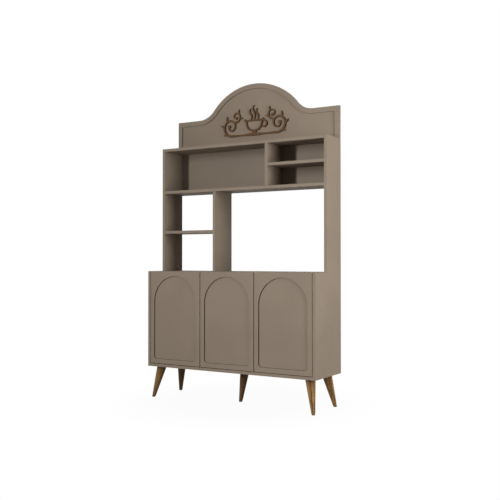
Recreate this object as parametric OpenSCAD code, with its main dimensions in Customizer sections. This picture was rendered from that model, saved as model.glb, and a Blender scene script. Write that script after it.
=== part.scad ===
/* [Overall] */
// Width over the side panels
cab_w = 1200; // [1000:1:1400]
// Depth of the base cabinet
base_d = 345; // [320:1:420]
// Height of the base cabinet without its legs
base_h = 610; // [520:1:700]
// Depth of the open hutch
hutch_d = 195; // [170:1:220]
// Height of the open hutch
hutch_h = 805; // [700:1:900]
// Thickness of every board and door
board_t = 18; // [17:0.5:20]
// Thickness of the back panels
back_t = 3; // [2:0.5:4]
// Overlap of a back panel on the boards round it
back_lap = 8; // [6:0.5:9]

/* [Hutch bays] */
// Height of the lower bays, worktop to middle board
lower_bay_h = 508; // [420:1:560]
// Clear width of the narrow bays, low on the left and high on the right
narrow_bay_w = 382; // [300:1:420]

/* [Crest] */
// Height of the crest's straight shoulders above the hutch
crest_shoulder = 201; // [170:1:220]
// Height of the crest's arch above the hutch
crest_h = 402; // [380:1:430]
// Radius of the crest's arch
crest_r = 400; // [380:1:430]
// Radius of the hollow curve between arch and shoulder
crest_hollow_r = 150; // [120:1:170]
// Width of the flat rim left standing round the crest's recessed field
crest_rim = 31; // [20:1:45]
// Depth of the crest's recessed field
crest_recess = 6; // [3:0.5:7]
// Thickness of the fretwork ornament
ornament_t = 9; // [6:0.5:12]
// Height of the ornament's middle above the hutch
ornament_z = 160; // [150:1:175]

/* [Doors] */
// Gap between two doors
door_gap = 3.5; // [2:0.5:4]
// Gap between an outer door and its side panel
door_side_gap = 2.5; // [1:0.5:3]
// Gap under the doors
door_low_gap = 3; // [1:0.5:4]
// Distance of the doors' top edge below the worktop's face
door_top_gap = 1; // [0.5:0.5:3]
// Gap between the back of a door and the boards behind it
door_case_gap = 2; // [1.9:0.1:3]
// Width of the flat rim round a door's arched field
field_rim = 30; // [25:1:40]
// Depth of a door's arched field
field_recess = 6; // [3:0.5:6]
// Corner radius at the foot of a door's arched field
field_corner_r = 20; // [10:1:30]

/* [Legs] */
// Height of the legs
leg_h = 200; // [150:1:250]
// Radius of a leg at the bottom board
leg_top_r = 30.5; // [25:0.5:34]
// Radius of a leg at its foot
leg_tip_r = 10.6; // [10:0.1:14]
// Sideways distance from a leg's foot to its head
leg_lean = 54; // [20:1:70]
// Distance of a corner foot's centre from the cabinet's outer faces
foot_inset = 26; // [20:1:40]
// Distance of the middle foot's centre behind the front
middle_foot_y = 165; // [120:1:180]
// Thickness of the plastic glide under a leg
glide_t = 3; // [2:0.5:5]
// Radius of the glide
glide_r = 9.5; // [7:0.5:9.5]
// Radius of a leg bolt
leg_bolt_r = 4; // [3:0.5:4]
// Radius of the threaded insert that a leg bolt screws into
leg_insert_r = 6; // [5.5:0.5:8]
// Length of the threaded insert
leg_insert_len = 13; // [10:1:15]

/* [Joints of the boards] */
// Radius of a wooden dowel
dowel_r = 4; // [3:0.5:5]
// Length of a dowel in the face of a board
dowel_face = 10; // [8:1:12]
// Length of a dowel in the end of a board
dowel_end = 20; // [15:1:25]
// Radius of a cam lock
cam_r = 7.5; // [6:0.5:9]
// Depth of a cam lock
cam_len = 13; // [11:0.5:14]
// Distance of a cam lock's middle from the end of its board
cam_reach = 34; // [26:1:40]
// Radius of a cam bolt
cam_bolt_r = 3; // [2:0.5:4]
// Length of a cam bolt in the face of a board
cam_bolt_face = 11; // [8:1:13]
// Distance of the base's cam locks from its front and back
base_cam_inset = 100; // [90:1:120]
// Distance of the base's dowels from its front and back
base_dowel_inset = 37.5; // [25:0.5:50]
// Distance of the partition's front cam locks from the front
partition_cam_front = 72.5; // [60:0.5:80]
// Distance of the partition's front dowels from the front
partition_dowel_front = 42.5; // [35:0.5:50]
// Distance of the partition's back cam locks from the back
partition_cam_back = 97.5; // [90:0.5:105]
// Distance of the partition's back dowels from the back
partition_dowel_back = 212.5; // [205:0.5:220]
// Distance of the hutch's cam locks from the middle of its depth
hutch_cam_off = 40; // [35:1:45]
// Distance of the hutch's dowels from the middle of its depth
hutch_dowel_off = 75; // [65:1:78]
// Distance of the cam locks in the hutch's feet from the middle of its depth
stand_cam_off = 50; // [45:1:55]
// Spacing of the screws and dowels under the crest
crest_screw_pitch = 300; // [240:1:320]
// Distance of the crest's screws behind its recessed field
crest_fix_in = 4.5; // [4.2:0.1:5]
// Radial clearance of dowels, bolts and pins in their bores
bore_gap = 0.05; // [0.02:0.01:0.1]
// Radius of a shelf pin
shelf_pin_r = 2.5; // [2:0.5:3]
// Length of a shelf pin on each side of the board's face
shelf_pin_len = 8; // [6:1:10]
// Gap at each end of a loose shelf
shelf_gap = 1; // [0.5:0.5:2]
// Distance of a loose shelf behind the boards' front edges
shelf_setback = 25; // [15:1:40]
// Distance of a shelf pin from the shelf's front and from the back panel
shelf_pin_inset = 40; // [30:1:60]

/* [Hinges] */
// Distance of a hinge from the end of its door
hinge_end = 95; // [70:1:130]
// Radius of a hinge cup
cup_r = 17.5; // [15:0.5:17.5]
// Depth of a hinge cup
cup_depth = 11; // [9:0.5:11]
// Distance from the door's edge to the cup's hole
cup_edge = 3; // [3:0.5:5]
// Thickness of sheet metal in a hinge
hinge_sheet = 1.2; // [1:0.1:1.5]
// Width of a hinge arm
arm_w = 16; // [12:1:20]
// Length of a hinge arm behind the door
arm_len = 62; // [55:1:70]

/* [Push latches] */
// Distance of a latch from the free edge of its door
latch_edge = 45; // [35:1:60]
// Width of a latch housing
latch_w = 12; // [11:0.5:16]
// Height of a latch housing
latch_h = 14; // [12:0.5:18]
// Length of a latch housing
latch_len = 58; // [50:1:70]
// Radius of a latch plunger
plunger_r = 3.4; // [2.5:0.1:4]
// Length of a latch plunger
plunger_len = 42; // [36:1:48]
// Running clearance of a plunger in its housing
plunger_gap = 0.08; // [0.03:0.01:0.1]
// Thickness of a strike disc
strike_t = 1; // [0.8:0.1:1.2]
// Radius of a strike disc
strike_r = 7.5; // [6:0.5:9]
// Space between pieces that only just don't touch
touch_gap = 0.3; // [0.2:0.1:0.4]

/* [Hidden] */
$fn = 48;

// A cut reaches this far past the face that it opens
past = 1;
taupe = "#87796a";
walnut = "#8a5a30";
dark_wood = "#5b3a20";
beech = "#c9a36f";
steel = "#a9abad";
zinc = "#8f9296";
black = "#2b2b2b";
white = "#d9d9d6";

// Places of the main faces: x to the right, y to the back, z up from the floor
half_w = cab_w / 2;
in_x = half_w - board_t;
front_y = -base_d / 2;
back_y = base_d / 2;
panel_y = back_y - back_t;
hutch_y = back_y - hutch_d;
hutch_mid_y = (hutch_y + back_y) / 2;
floor_z = leg_h + board_t;
worktop_z = leg_h + base_h;
under_top_z = worktop_z - board_t;
middle_z = worktop_z + lower_bay_h;
middle_top_z = middle_z + board_t;
hutch_top_z = worktop_z + hutch_h;
ceiling_z = hutch_top_z - board_t;
case_y = front_y + board_t + door_case_gap;
divider_x = in_x - narrow_bay_w - board_t / 2;
narrow_shelf_z = (worktop_z + middle_z - board_t) / 2;
high_shelf_z = (middle_top_z + ceiling_z - board_t) / 2;

// Doors: the first two hang on their left edge, the third on its right edge
door_w = (2 * in_x - 2 * door_side_gap - 2 * door_gap) / 3;
door_z = floor_z + door_low_gap;
door_top_z = worktop_z - door_top_gap;
door_h = door_top_z - door_z;
door_back_y = front_y + board_t;
function door_x(i) = -in_x + door_side_gap + i * (door_w + door_gap);
partition_x = door_x(1) - door_gap / 2;
hinge_zs = [door_z + hinge_end, door_top_z - hinge_end];
cup_x = cup_edge + cup_r;
// Face that a door's hinges are screwed to, measured from the door's hinge edge
function hinge_face(i) = i == 1 ? (board_t - door_gap) / 2 : -door_side_gap;

// Rows of fittings, from front to back
base_cam_ys = [front_y + base_cam_inset, back_y - base_cam_inset];
base_dowel_ys = [front_y + base_dowel_inset, back_y - base_dowel_inset];
partition_cam_ys = [front_y + partition_cam_front, back_y - partition_cam_back];
partition_dowel_ys = [front_y + partition_dowel_front, back_y - partition_dowel_back];
hutch_cam_ys = [hutch_mid_y - hutch_cam_off, hutch_mid_y + hutch_cam_off];
hutch_dowel_ys = [hutch_mid_y - hutch_dowel_off, hutch_mid_y + hutch_dowel_off];
stand_cam_ys = [hutch_mid_y - stand_cam_off, hutch_mid_y + stand_cam_off];

// A fitting is a point in the seam and a turn that takes +x into the joined face
// and -z to the face that a cam lock opens at
right_end = [0, 0, 0];
left_end = [0, 0, 180];
head_open_left = [180, -90, 0];
foot_open_left = [0, 90, 0];
foot_open_right = [180, 90, 0];
base_cam_places = concat(
  [for (z = [leg_h, under_top_z], y = base_cam_ys) [[in_x, y, z + board_t / 2], right_end]],
  [for (z = [leg_h, under_top_z], y = base_cam_ys) [[-in_x, y, z + board_t / 2], left_end]],
  [for (y = partition_cam_ys) [[partition_x, y, under_top_z], head_open_left]],
  [for (y = partition_cam_ys) [[partition_x, y, floor_z], foot_open_left]]);
base_dowel_places = concat(
  [for (z = [leg_h, under_top_z], y = base_dowel_ys) [[in_x, y, z + board_t / 2], right_end]],
  [for (z = [leg_h, under_top_z], y = base_dowel_ys) [[-in_x, y, z + board_t / 2], left_end]],
  [for (y = partition_dowel_ys) [[partition_x, y, under_top_z], head_open_left]],
  [for (y = partition_dowel_ys) [[partition_x, y, floor_z], foot_open_left]]);
hutch_cam_places = concat(
  [for (z = [middle_z, ceiling_z], y = hutch_cam_ys) [[in_x, y, z + board_t / 2], right_end]],
  [for (z = [middle_z, ceiling_z], y = hutch_cam_ys) [[-in_x, y, z + board_t / 2], left_end]],
  [for (y = hutch_cam_ys) [[-divider_x, y, worktop_z], foot_open_left]],
  [for (y = hutch_cam_ys) [[-divider_x, y, middle_z], head_open_left]],
  [for (y = hutch_cam_ys) [[divider_x, y, middle_top_z], foot_open_left]],
  [for (y = hutch_cam_ys) [[divider_x, y, ceiling_z], head_open_left]],
  [for (y = stand_cam_ys) [[in_x + board_t / 2, y, worktop_z], foot_open_left]],
  [for (y = stand_cam_ys) [[-in_x - board_t / 2, y, worktop_z], foot_open_right]]);
hutch_dowel_places = concat(
  [for (z = [middle_z, ceiling_z], y = hutch_dowel_ys) [[in_x, y, z + board_t / 2], right_end]],
  [for (z = [middle_z, ceiling_z], y = hutch_dowel_ys) [[-in_x, y, z + board_t / 2], left_end]],
  [for (y = hutch_dowel_ys) [[-divider_x, y, worktop_z], foot_open_left]],
  [for (y = hutch_dowel_ys) [[-divider_x, y, middle_z], head_open_left]],
  [for (y = hutch_dowel_ys) [[divider_x, y, middle_top_z], foot_open_left]],
  [for (y = hutch_dowel_ys) [[divider_x, y, ceiling_z], head_open_left]],
  [for (x = [-1, 1], y = hutch_dowel_ys) [[x * (in_x + board_t / 2), y, worktop_z], foot_open_left]],
  [for (y = hutch_dowel_ys) [[-in_x, y, narrow_shelf_z + board_t / 2], left_end]],
  [for (y = hutch_dowel_ys) [[in_x - narrow_bay_w, y, high_shelf_z + board_t / 2], left_end]],
  [for (y = hutch_dowel_ys) [[-in_x + narrow_bay_w, y, narrow_shelf_z + board_t / 2], right_end]],
  [for (y = hutch_dowel_ys) [[in_x, y, high_shelf_z + board_t / 2], right_end]]);

// Crest: its fixings stand in the thinner, recessed part of the panel
crest_y = back_y - board_t;
crest_field_y = crest_y + crest_recess;
crest_fix_y = crest_field_y + crest_fix_in;
crest_screw_xs = [for (k = [-1.5:1:1.5]) k * crest_screw_pitch];
crest_dowel_xs = [-crest_screw_pitch, crest_screw_pitch];
crest_screw_r = 2;
crest_screw_head_r = 4;
crest_screw_len = 50;
// Height of the arch's centre, and place of the hollow curves' centres
arch_z = crest_h - crest_r;
hollow_z = crest_shoulder + crest_hollow_r;
hollow_x = sqrt(pow(crest_r + crest_hollow_r, 2) - pow(hollow_z - arch_z, 2));

// Pins of the back panels: head and shank are sunk flush
pin_head_r = 2.5;
pin_head_t = 0.8;
pin_r = 0.9;
pin_len = 16;
base_pin_places = concat(
  [for (s = [-1, 1], k = [0.1, 0.5, 0.9]) [s * (in_x + back_lap / 2), floor_z + k * (base_h - 2 * board_t)]],
  [for (x = [-2:2], z = [floor_z - back_lap / 2, under_top_z + back_lap / 2]) [x * in_x * 0.43, z]],
  [for (k = [0.3, 0.7]) [partition_x, floor_z + k * (base_h - 2 * board_t)]]);
hutch_pin_places = concat(
  [for (s = [-1, 1], k = [0.25, 0.75])
    [s * (in_x + back_lap / 2), middle_top_z + k * (ceiling_z - middle_top_z)]],
  [for (x = [-1.5:1:1.5], z = [middle_top_z - back_lap / 2, ceiling_z + back_lap / 2]) [x * in_x * 0.5, z]],
  [[divider_x, (middle_top_z + ceiling_z) / 2]]);

// Legs: foot and head centres, from above
corner_lean = leg_lean / sqrt(2);
leg_foot_x = half_w - foot_inset;
leg_foot_y = base_d / 2 - foot_inset;
leg_feet = [[-leg_foot_x, -leg_foot_y], [leg_foot_x, -leg_foot_y], [-leg_foot_x, leg_foot_y],
  [leg_foot_x, leg_foot_y], [0, front_y + middle_foot_y]];
leg_turns = [45, 135, -45, -135, 90];
leg_bolt_in_leg = 40;
leg_bolt_in_board = 11;
nail_r = 1.5;
nail_len = 15;
function leg_head(i) = leg_feet[i] + leg_lean * [cos(leg_turns[i]), sin(leg_turns[i])];

// Latches and hinge fittings
plunger_y = door_back_y + strike_t + touch_gap;
latch_gap = 4;
latch_y = door_back_y + latch_gap;
latch_z = under_top_z - latch_h / 2;
latch_tab = 8;
latch_tab_y = 42;
latch_tab_len = 14;
latch_tab_t = 2;
latch_screw_r = 1.75;
latch_screw_head_r = 3;
latch_screw_head_t = 1.5;
latch_screw_len = 12;
pad_r = 4;
pad_t = door_case_gap - touch_gap;
pad_z = under_top_z + board_t / 2;
arm_y = door_back_y + hinge_sheet + touch_gap;
plate_y = door_back_y + 27;
plate_w = 18;
plate_h = 50;
plate_t = 2;
plate_screw_z = 16;
bridge_h = 11;
cup_screw_z = 24;
cup_screw_x = 6;
screw_r = 1.75;
screw_head_r = 3.2;
screw_head_t = 1.6;
screw_len = 12;
cup_flange = 1.5;
screw_ear = 2.5;

// A board between two opposite corners
module board(low, high) {
  color(taupe) translate(low) cube(high - low);
}

module place(spot) {
  translate(spot[0]) rotate(spot[1]) children();
}

module rod_x(low, high, r) {
  translate([low, 0, 0]) rotate([0, 90, 0]) cylinder(h = high - low, r = r);
}

module dowel(gap = 0) {
  rod_x(-dowel_end - gap, dowel_face + gap, dowel_r + gap);
}

// Threaded rod of a cam bolt with its head inside the cam lock
module cam_bolt(gap = 0) {
  rod_x(-cam_reach, cam_bolt_face + gap, cam_bolt_r + gap);
}

// Pocket of a cam lock, open at the board's -z face
module cam_pocket(out = 0) {
  translate([-cam_reach, 0, -board_t / 2 - out]) cylinder(h = cam_len + out, r = cam_r);
}

// Round cam lock with a cross slot for the screwdriver
module cam_lock() {
  slot_w = 2;
  slot_depth = 2.5;
  difference() {
    cam_pocket();
    cam_bolt(bore_gap);
    for (a = [0, 90])
      translate([-cam_reach, 0, -board_t / 2]) rotate(a)
        translate([-cam_r * 0.6, -slot_w / 2, -past]) cube([cam_r * 1.2, slot_w, slot_depth + past]);
  }
}

// All that is bored out of the base boards, and out of the hutch boards
module base_bores() {
  for (spot = base_dowel_places) place(spot) dowel(bore_gap);
  for (spot = base_cam_places) place(spot) {
    cam_bolt(bore_gap);
    cam_pocket(past);
  }
}

module hutch_bores() {
  for (spot = hutch_dowel_places) place(spot) dowel(bore_gap);
  for (spot = hutch_cam_places) place(spot) {
    cam_bolt(bore_gap);
    cam_pocket(past);
  }
}

module base_back_shape(out = 0) {
  translate([-in_x - back_lap, panel_y, floor_z - back_lap])
    cube([2 * (in_x + back_lap), back_t + out, base_h - 2 * (board_t - back_lap)]);
}

module hutch_back_shape(out = 0) {
  translate([-in_x - back_lap, panel_y, middle_top_z - back_lap])
    cube([2 * (in_x + back_lap), back_t + out, ceiling_z - middle_top_z + 2 * back_lap]);
}

module panel_pins(places) {
  for (p = places) translate([p[0], back_y, p[1]]) rotate([90, 0, 0]) {
    cylinder(h = pin_head_t, r = pin_head_r);
    cylinder(h = pin_len, r = pin_r);
  }
}

// Loose shelf between two faces, resting on pins
base_shelf_y = case_y + shelf_setback;
base_shelf_z = (floor_z + under_top_z - board_t) / 2;
base_bays = [[-in_x, partition_x - board_t / 2], [partition_x + board_t / 2, in_x]];
pin_ys = [base_shelf_y + shelf_pin_inset, panel_y - shelf_pin_inset];

module shelf_pin_rods(gap = 0) {
  for (bay = base_bays, x = bay, y = pin_ys)
    translate([x, y, base_shelf_z - shelf_pin_r])
      rod_x(-shelf_pin_len - gap, shelf_pin_len + gap, shelf_pin_r + gap);
}

// Side panel of the base: the right one is its mirror image in outline
module base_side(side) {
  low_x = side < 0 ? -half_w : in_x;
  difference() {
    board([low_x, front_y, leg_h], [low_x + board_t, back_y, worktop_z]);
    base_back_shape(past);
    base_bores();
    stand_bores(side);
    shelf_pin_rods(bore_gap);
    panel_pins(base_pin_places);
    hinge_case_bores(side < 0 ? 0 : 2);
  }
}

// Dowels and cam bolts that stand a hutch side on the base side under it
module stand_bores(side) {
  for (spot = hutch_dowel_places) if (spot[0][0] * side > in_x && spot[0][2] == worktop_z)
    place(spot) dowel(bore_gap);
  for (spot = hutch_cam_places) if (spot[0][0] * side > in_x && spot[0][2] == worktop_z)
    place(spot) cam_bolt(bore_gap);
}

module base_bottom() {
  difference() {
    board([-in_x, front_y, leg_h], [in_x, back_y, floor_z]);
    base_back_shape(past);
    base_bores();
    panel_pins(base_pin_places);
    for (i = [0:4]) translate([each leg_head(i), leg_h - past])
      cylinder(h = leg_insert_len + past, r = leg_insert_r);
  }
}

// Worktop: it lies behind the doors and between the sides
module base_top() {
  difference() {
    board([-in_x, case_y, under_top_z], [in_x, back_y, worktop_z]);
    base_back_shape(past);
    base_bores();
    for (spot = hutch_dowel_places) if (spot[0][0] == -divider_x && spot[0][2] == worktop_z)
      place(spot) dowel(bore_gap);
    for (spot = hutch_cam_places) if (spot[0][0] == -divider_x && spot[0][2] == worktop_z)
      place(spot) cam_bolt(bore_gap);
    panel_pins(base_pin_places);
    latch_screw_rods();
  }
}

module base_partition() {
  difference() {
    board([partition_x - board_t / 2, case_y, floor_z], [partition_x + board_t / 2, panel_y, under_top_z]);
    base_bores();
    shelf_pin_rods(bore_gap);
    panel_pins(base_pin_places);
    hinge_case_bores(1);
  }
}

module base_back() {
  color(beech) difference() {
    base_back_shape();
    panel_pins(base_pin_places);
  }
}

module base_shelf(bay) {
  board([bay[0] + shelf_gap, base_shelf_y, base_shelf_z],
    [bay[1] - shelf_gap, panel_y - shelf_gap, base_shelf_z + board_t]);
}

module shelf_pins() {
  color(steel) shelf_pin_rods();
}

// Side panel of the hutch, standing on the base side
module hutch_side(side) {
  low_x = side < 0 ? -half_w : in_x;
  difference() {
    board([low_x, hutch_y, worktop_z], [low_x + board_t, back_y, hutch_top_z]);
    hutch_back_shape(past);
    hutch_bores();
    panel_pins(hutch_pin_places);
  }
}

module hutch_top() {
  difference() {
    board([-in_x, hutch_y, ceiling_z], [in_x, back_y, hutch_top_z]);
    hutch_back_shape(past);
    hutch_bores();
    panel_pins(hutch_pin_places);
    crest_fixings(bore_gap);
  }
}

module hutch_middle_board() {
  difference() {
    board([-in_x, hutch_y, middle_z], [in_x, back_y, middle_top_z]);
    hutch_back_shape(past);
    hutch_bores();
    panel_pins(hutch_pin_places);
  }
}

module hutch_divider_lower() {
  difference() {
    board([-divider_x - board_t / 2, hutch_y, worktop_z], [-divider_x + board_t / 2, back_y, middle_z]);
    hutch_bores();
  }
}

module hutch_divider_upper() {
  difference() {
    board([divider_x - board_t / 2, hutch_y, middle_top_z], [divider_x + board_t / 2, panel_y, ceiling_z]);
    hutch_bores();
    panel_pins(hutch_pin_places);
  }
}

module hutch_shelf_left() {
  difference() {
    board([-in_x, hutch_y, narrow_shelf_z], [-in_x + narrow_bay_w, back_y, narrow_shelf_z + board_t]);
    hutch_bores();
  }
}

module hutch_shelf_right() {
  difference() {
    board([in_x - narrow_bay_w, hutch_y, high_shelf_z], [in_x, panel_y, high_shelf_z + board_t]);
    hutch_bores();
  }
}

module hutch_back() {
  color(taupe) difference() {
    hutch_back_shape();
    panel_pins(hutch_pin_places);
  }
}

// Points of an arc; skip leaves out its first and last point
function arc(mid, r, from, to, skip = 0) =
  let (n = ceil(abs(to - from) / 2))
  [for (i = [skip:n - skip]) let (a = from + (to - from) * i / n) mid + r * [cos(a), sin(a)]];

// Outline of the crest, moved in by a rim: an arch that runs through a hollow
// curve on each side into a straight shoulder, every arc keeping its centre
module crest_outline(rim = 0, down = 0) {
  half = half_w - rim;
  top = crest_shoulder - rim;
  meet = atan2(hollow_z - arch_z, hollow_x);
  polygon(concat(
    [[half, -down], [half, top]],
    arc([hollow_x, hollow_z], crest_hollow_r + rim, 270, 180 + meet),
    arc([0, arch_z], crest_r - rim, meet, 180 - meet, 1),
    arc([-hollow_x, hollow_z], crest_hollow_r + rim, -meet, -90),
    [[-half, top], [-half, -down]]));
}

// Screws from under the hutch top and dowels, standing in the crest's lower edge
module crest_screw_rods(gap = 0) {
  head_h = crest_screw_head_r - crest_screw_r;
  for (x = crest_screw_xs) translate([x, crest_fix_y, ceiling_z]) {
    cylinder(h = crest_screw_len + gap, r = crest_screw_r + gap);
    cylinder(h = head_h, r1 = crest_screw_head_r, r2 = crest_screw_r);
  }
}

module crest_dowel_rods(gap = 0) {
  for (x = crest_dowel_xs) translate([x, crest_fix_y, hutch_top_z - dowel_face - gap])
    cylinder(h = dowel_face + dowel_end + 2 * gap, r = dowel_r + gap);
}

module crest_fixings(gap) {
  crest_screw_rods(gap);
  crest_dowel_rods(gap);
}

module crest_panel() {
  color(taupe) difference() {
    translate([0, back_y, hutch_top_z]) rotate([90, 0, 0]) linear_extrude(board_t) crest_outline();
    translate([0, crest_field_y, hutch_top_z]) rotate([90, 0, 0])
      linear_extrude(crest_recess + past) crest_outline(crest_rim, past);
    crest_fixings(bore_gap);
  }
}

module crest_screws() {
  color(zinc) crest_screw_rods();
}

// Ribbon of a given width along a row of points, square to the path at each one
module ribbon(path, widths) {
  last = len(path) - 1;
  sides = [for (i = [0:last])
    let (step = path[min(i + 1, last)] - path[max(i - 1, 0)], half = widths[i] / 2 / norm(step))
    half * [-step[1], step[0]]];
  polygon(concat([for (i = [0:last]) path[i] + sides[i]],
    [for (i = [last:-1:0]) path[i] - sides[i]]));
}

// Ornament: a steaming cup on a saucer between two volutes with leaves
cup_half = 64;
cup_tall = 76;
cup_rim_z = 12;
cup_line = 11;
foot_half = 16;
handle_z = -20;
handle_r = 26;
saucer_z = -84;
saucer_half = 122;
saucer_thick = 17;
steam_gap = 25;
steam_sway = 8;
steam_side = 70;
steam_middle = 92;
steam_tip = 3;
steam_swell = 8;
handle_out = 9;
handle_x = cup_half + handle_out;
volute_x = 176;
volute_z = -25;
volute_r = 59;
volute_end_r = 13;
volute_turn = 470;
leaf_tilt = 48;
volute_eye_r = 11;
curl_r = 38;
curl_end_r = 9;
curl_turn = 400;
curl_angle = 122;
curl_eye_r = 9;
stem_w = 6;
volute_w = 15;
volute_tip_w = 8;
curl_w = 12;
curl_tip_w = 7;
steps = 44;
// Leaves: step of the spiral that each one springs from, and its length
volute_leaves = [[3, 28], [8, 36], [13, 40]];
curl_leaves = [[10, 26], [18, 30]];

// Bowl of the cup, as a closed line that a wall width moves in
module cup_bowl(wall = 0) {
  polygon([for (i = [0:24])
    let (a = 180 + 180 * i / 24)
    [(cup_half - wall) * sign(cos(a)) * pow(abs(cos(a)), 0.7),
      cup_rim_z - (cup_tall - wall) * pow(abs(sin(a)), 0.85)]]);
}

// One wisp of steam: a wave that swells in its middle and thins at its tip
module steam(x, tall) {
  ribbon([for (i = [0:24]) [x + steam_sway * sin(15 * i), cup_rim_z + tall * i / 24]],
    [for (i = [0:24]) steam_tip + steam_swell * sin(7.5 * i)]);
}

// Leaf between two equal arcs, growing from its stalk along +x
module leaf(long, wide) {
  r = (long * long + wide * wide) / (4 * wide);
  intersection() {
    translate([long / 2, r - wide / 2]) circle(r = r, $fn = 60);
    translate([long / 2, wide / 2 - r]) circle(r = r, $fn = 60);
  }
}

// Volute that leaves the saucer, rolls up and ends in a round eye, and the
// counter curl that springs from its back
function volute_angle(i) = -90 + volute_turn * i / steps;
function volute_radius(i) = volute_r + (volute_end_r - volute_r) * i / steps;
function volute_point(i) =
  [volute_x, volute_z] + volute_radius(i) * [cos(volute_angle(i)), sin(volute_angle(i))];
curl_step = steps * (curl_angle + 90) / volute_turn;
curl_mid = [volute_x, volute_z]
  + (volute_radius(curl_step) + curl_r) * [cos(curl_angle), sin(curl_angle)];
function curl_angle_at(i) = curl_angle - 180 - curl_turn * i / steps;
function curl_point(i) =
  curl_mid + (curl_r + (curl_end_r - curl_r) * i / steps) * [cos(curl_angle_at(i)), sin(curl_angle_at(i))];

// Leaf that springs from the outside of the volute or of the curl
module volute_leaf(spring) {
  translate(volute_point(spring[0])) rotate(volute_angle(spring[0]) + leaf_tilt)
    leaf(spring[1], spring[1] / 3);
}

module curl_leaf(spring) {
  translate(curl_point(spring[0])) rotate(curl_angle_at(spring[0]) - leaf_tilt)
    leaf(spring[1], spring[1] / 3);
}

// Each child sawn out of a board of the ornament's thickness
module sawn() {
  for (k = [0:$children - 1]) linear_extrude(ornament_t) children(k);
}

module side_scroll() {
  sawn() {
    ribbon(concat([[saucer_half / 2, saucer_z]], [for (i = [0:steps]) volute_point(i)]),
      concat([stem_w], [for (i = [0:steps]) volute_w + (volute_tip_w - volute_w) * i / steps]));
    translate(volute_point(steps)) circle(r = volute_eye_r, $fn = 32);
    ribbon([for (i = [0:steps]) curl_point(i)],
      [for (i = [0:steps]) curl_w + (curl_tip_w - curl_w) * i / steps]);
    translate(curl_point(steps)) circle(r = curl_eye_r, $fn = 32);
    volute_leaf(volute_leaves[0]);
    volute_leaf(volute_leaves[1]);
    volute_leaf(volute_leaves[2]);
    curl_leaf(curl_leaves[0]);
    curl_leaf(curl_leaves[1]);
  }
}

module cup_and_saucer() {
  sawn() {
    difference() {
      cup_bowl();
      cup_bowl(cup_line);
    }
    translate([-cup_half - cup_line / 2, cup_rim_z - cup_line / 2])
      square([2 * cup_half + cup_line, cup_line]);
    translate([-cup_half - cup_line / 2, cup_rim_z]) circle(r = cup_line / 2, $fn = 32);
    translate([cup_half + cup_line / 2, cup_rim_z]) circle(r = cup_line / 2, $fn = 32);
    difference() {
      translate([handle_x, handle_z]) circle(r = handle_r, $fn = 60);
      translate([handle_x, handle_z]) circle(r = handle_r - cup_line, $fn = 60);
      cup_bowl(cup_line / 2);
    }
    translate([-saucer_half, saucer_z]) leaf(2 * saucer_half, saucer_thick);
    translate([-foot_half, saucer_z])
      square([2 * foot_half, cup_rim_z - cup_tall - saucer_z + cup_line / 2]);
    steam(-steam_gap, steam_side);
    steam(0, steam_middle);
    steam(steam_gap, steam_side);
  }
}

module crest_ornament() {
  color(dark_wood) translate([0, crest_field_y, hutch_top_z + ornament_z]) rotate([90, 0, 0]) {
    cup_and_saucer();
    side_scroll();
    mirror([1, 0, 0]) side_scroll();
  }
}

// Turned leg: a cone that leans towards its turn, sawn level at both ends
module leg(i) {
  axis_len = norm([leg_lean, leg_h]);
  swell = (leg_top_r - leg_tip_r) / axis_len;
  more = leg_top_r;
  color(walnut) difference() {
    intersection() {
      translate([each leg_feet[i], 0]) rotate([0, atan2(leg_lean, leg_h), leg_turns[i]])
        translate([0, 0, -more / 3])
          cylinder(h = axis_len + more * 4 / 3, r1 = leg_tip_r - swell * more / 3,
            r2 = leg_top_r + swell * more, $fn = 64);
      translate([-half_w, front_y, glide_t]) cube([cab_w, base_d, leg_h - glide_t]);
    }
    translate([each leg_head(i), leg_h - leg_bolt_in_leg - bore_gap])
      cylinder(h = leg_bolt_in_leg + past, r = leg_bolt_r + bore_gap);
    translate([each leg_feet[i], 0]) cylinder(h = glide_t + nail_len + bore_gap, r = nail_r + bore_gap);
  }
}

module leg_bolts() {
  color(zinc) for (i = [0:4]) translate([each leg_head(i), leg_h - leg_bolt_in_leg])
    cylinder(h = leg_bolt_in_leg + leg_bolt_in_board, r = leg_bolt_r);
}

// Flanged threaded inserts, let into the bottom board from below
module leg_inserts() {
  color(zinc) for (i = [0:4]) translate([each leg_head(i), leg_h]) difference() {
    cylinder(h = leg_insert_len, r = leg_insert_r);
    translate([0, 0, -past]) cylinder(h = leg_insert_len + 2 * past, r = leg_bolt_r + bore_gap);
  }
}

module leg_glides() {
  color(black) for (i = [0:4]) translate([each leg_feet[i], 0]) {
    cylinder(h = glide_t, r = glide_r);
    cylinder(h = glide_t + nail_len, r = nail_r);
  }
}

module base_dowels() {
  color(beech) for (spot = base_dowel_places) place(spot) dowel();
}

module hutch_dowels() {
  color(beech) {
    for (spot = hutch_dowel_places) place(spot) dowel();
    crest_dowel_rods();
  }
}

module cam_locks(places) {
  color(zinc) for (spot = places) place(spot) cam_lock();
}

module cam_bolts(places) {
  color(steel) for (spot = places) place(spot) cam_bolt();
}

module back_panel_pins() {
  color(steel) {
    panel_pins(base_pin_places);
    panel_pins(hutch_pin_places);
  }
}

// Frame of a door: origin at its hinge edge on the front face, +x across the door
module at_door(i) {
  if (i == 2) translate([door_x(2) + door_w, 0, 0]) mirror([1, 0, 0]) children();
  else translate([door_x(i), 0, 0]) children();
}

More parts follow.
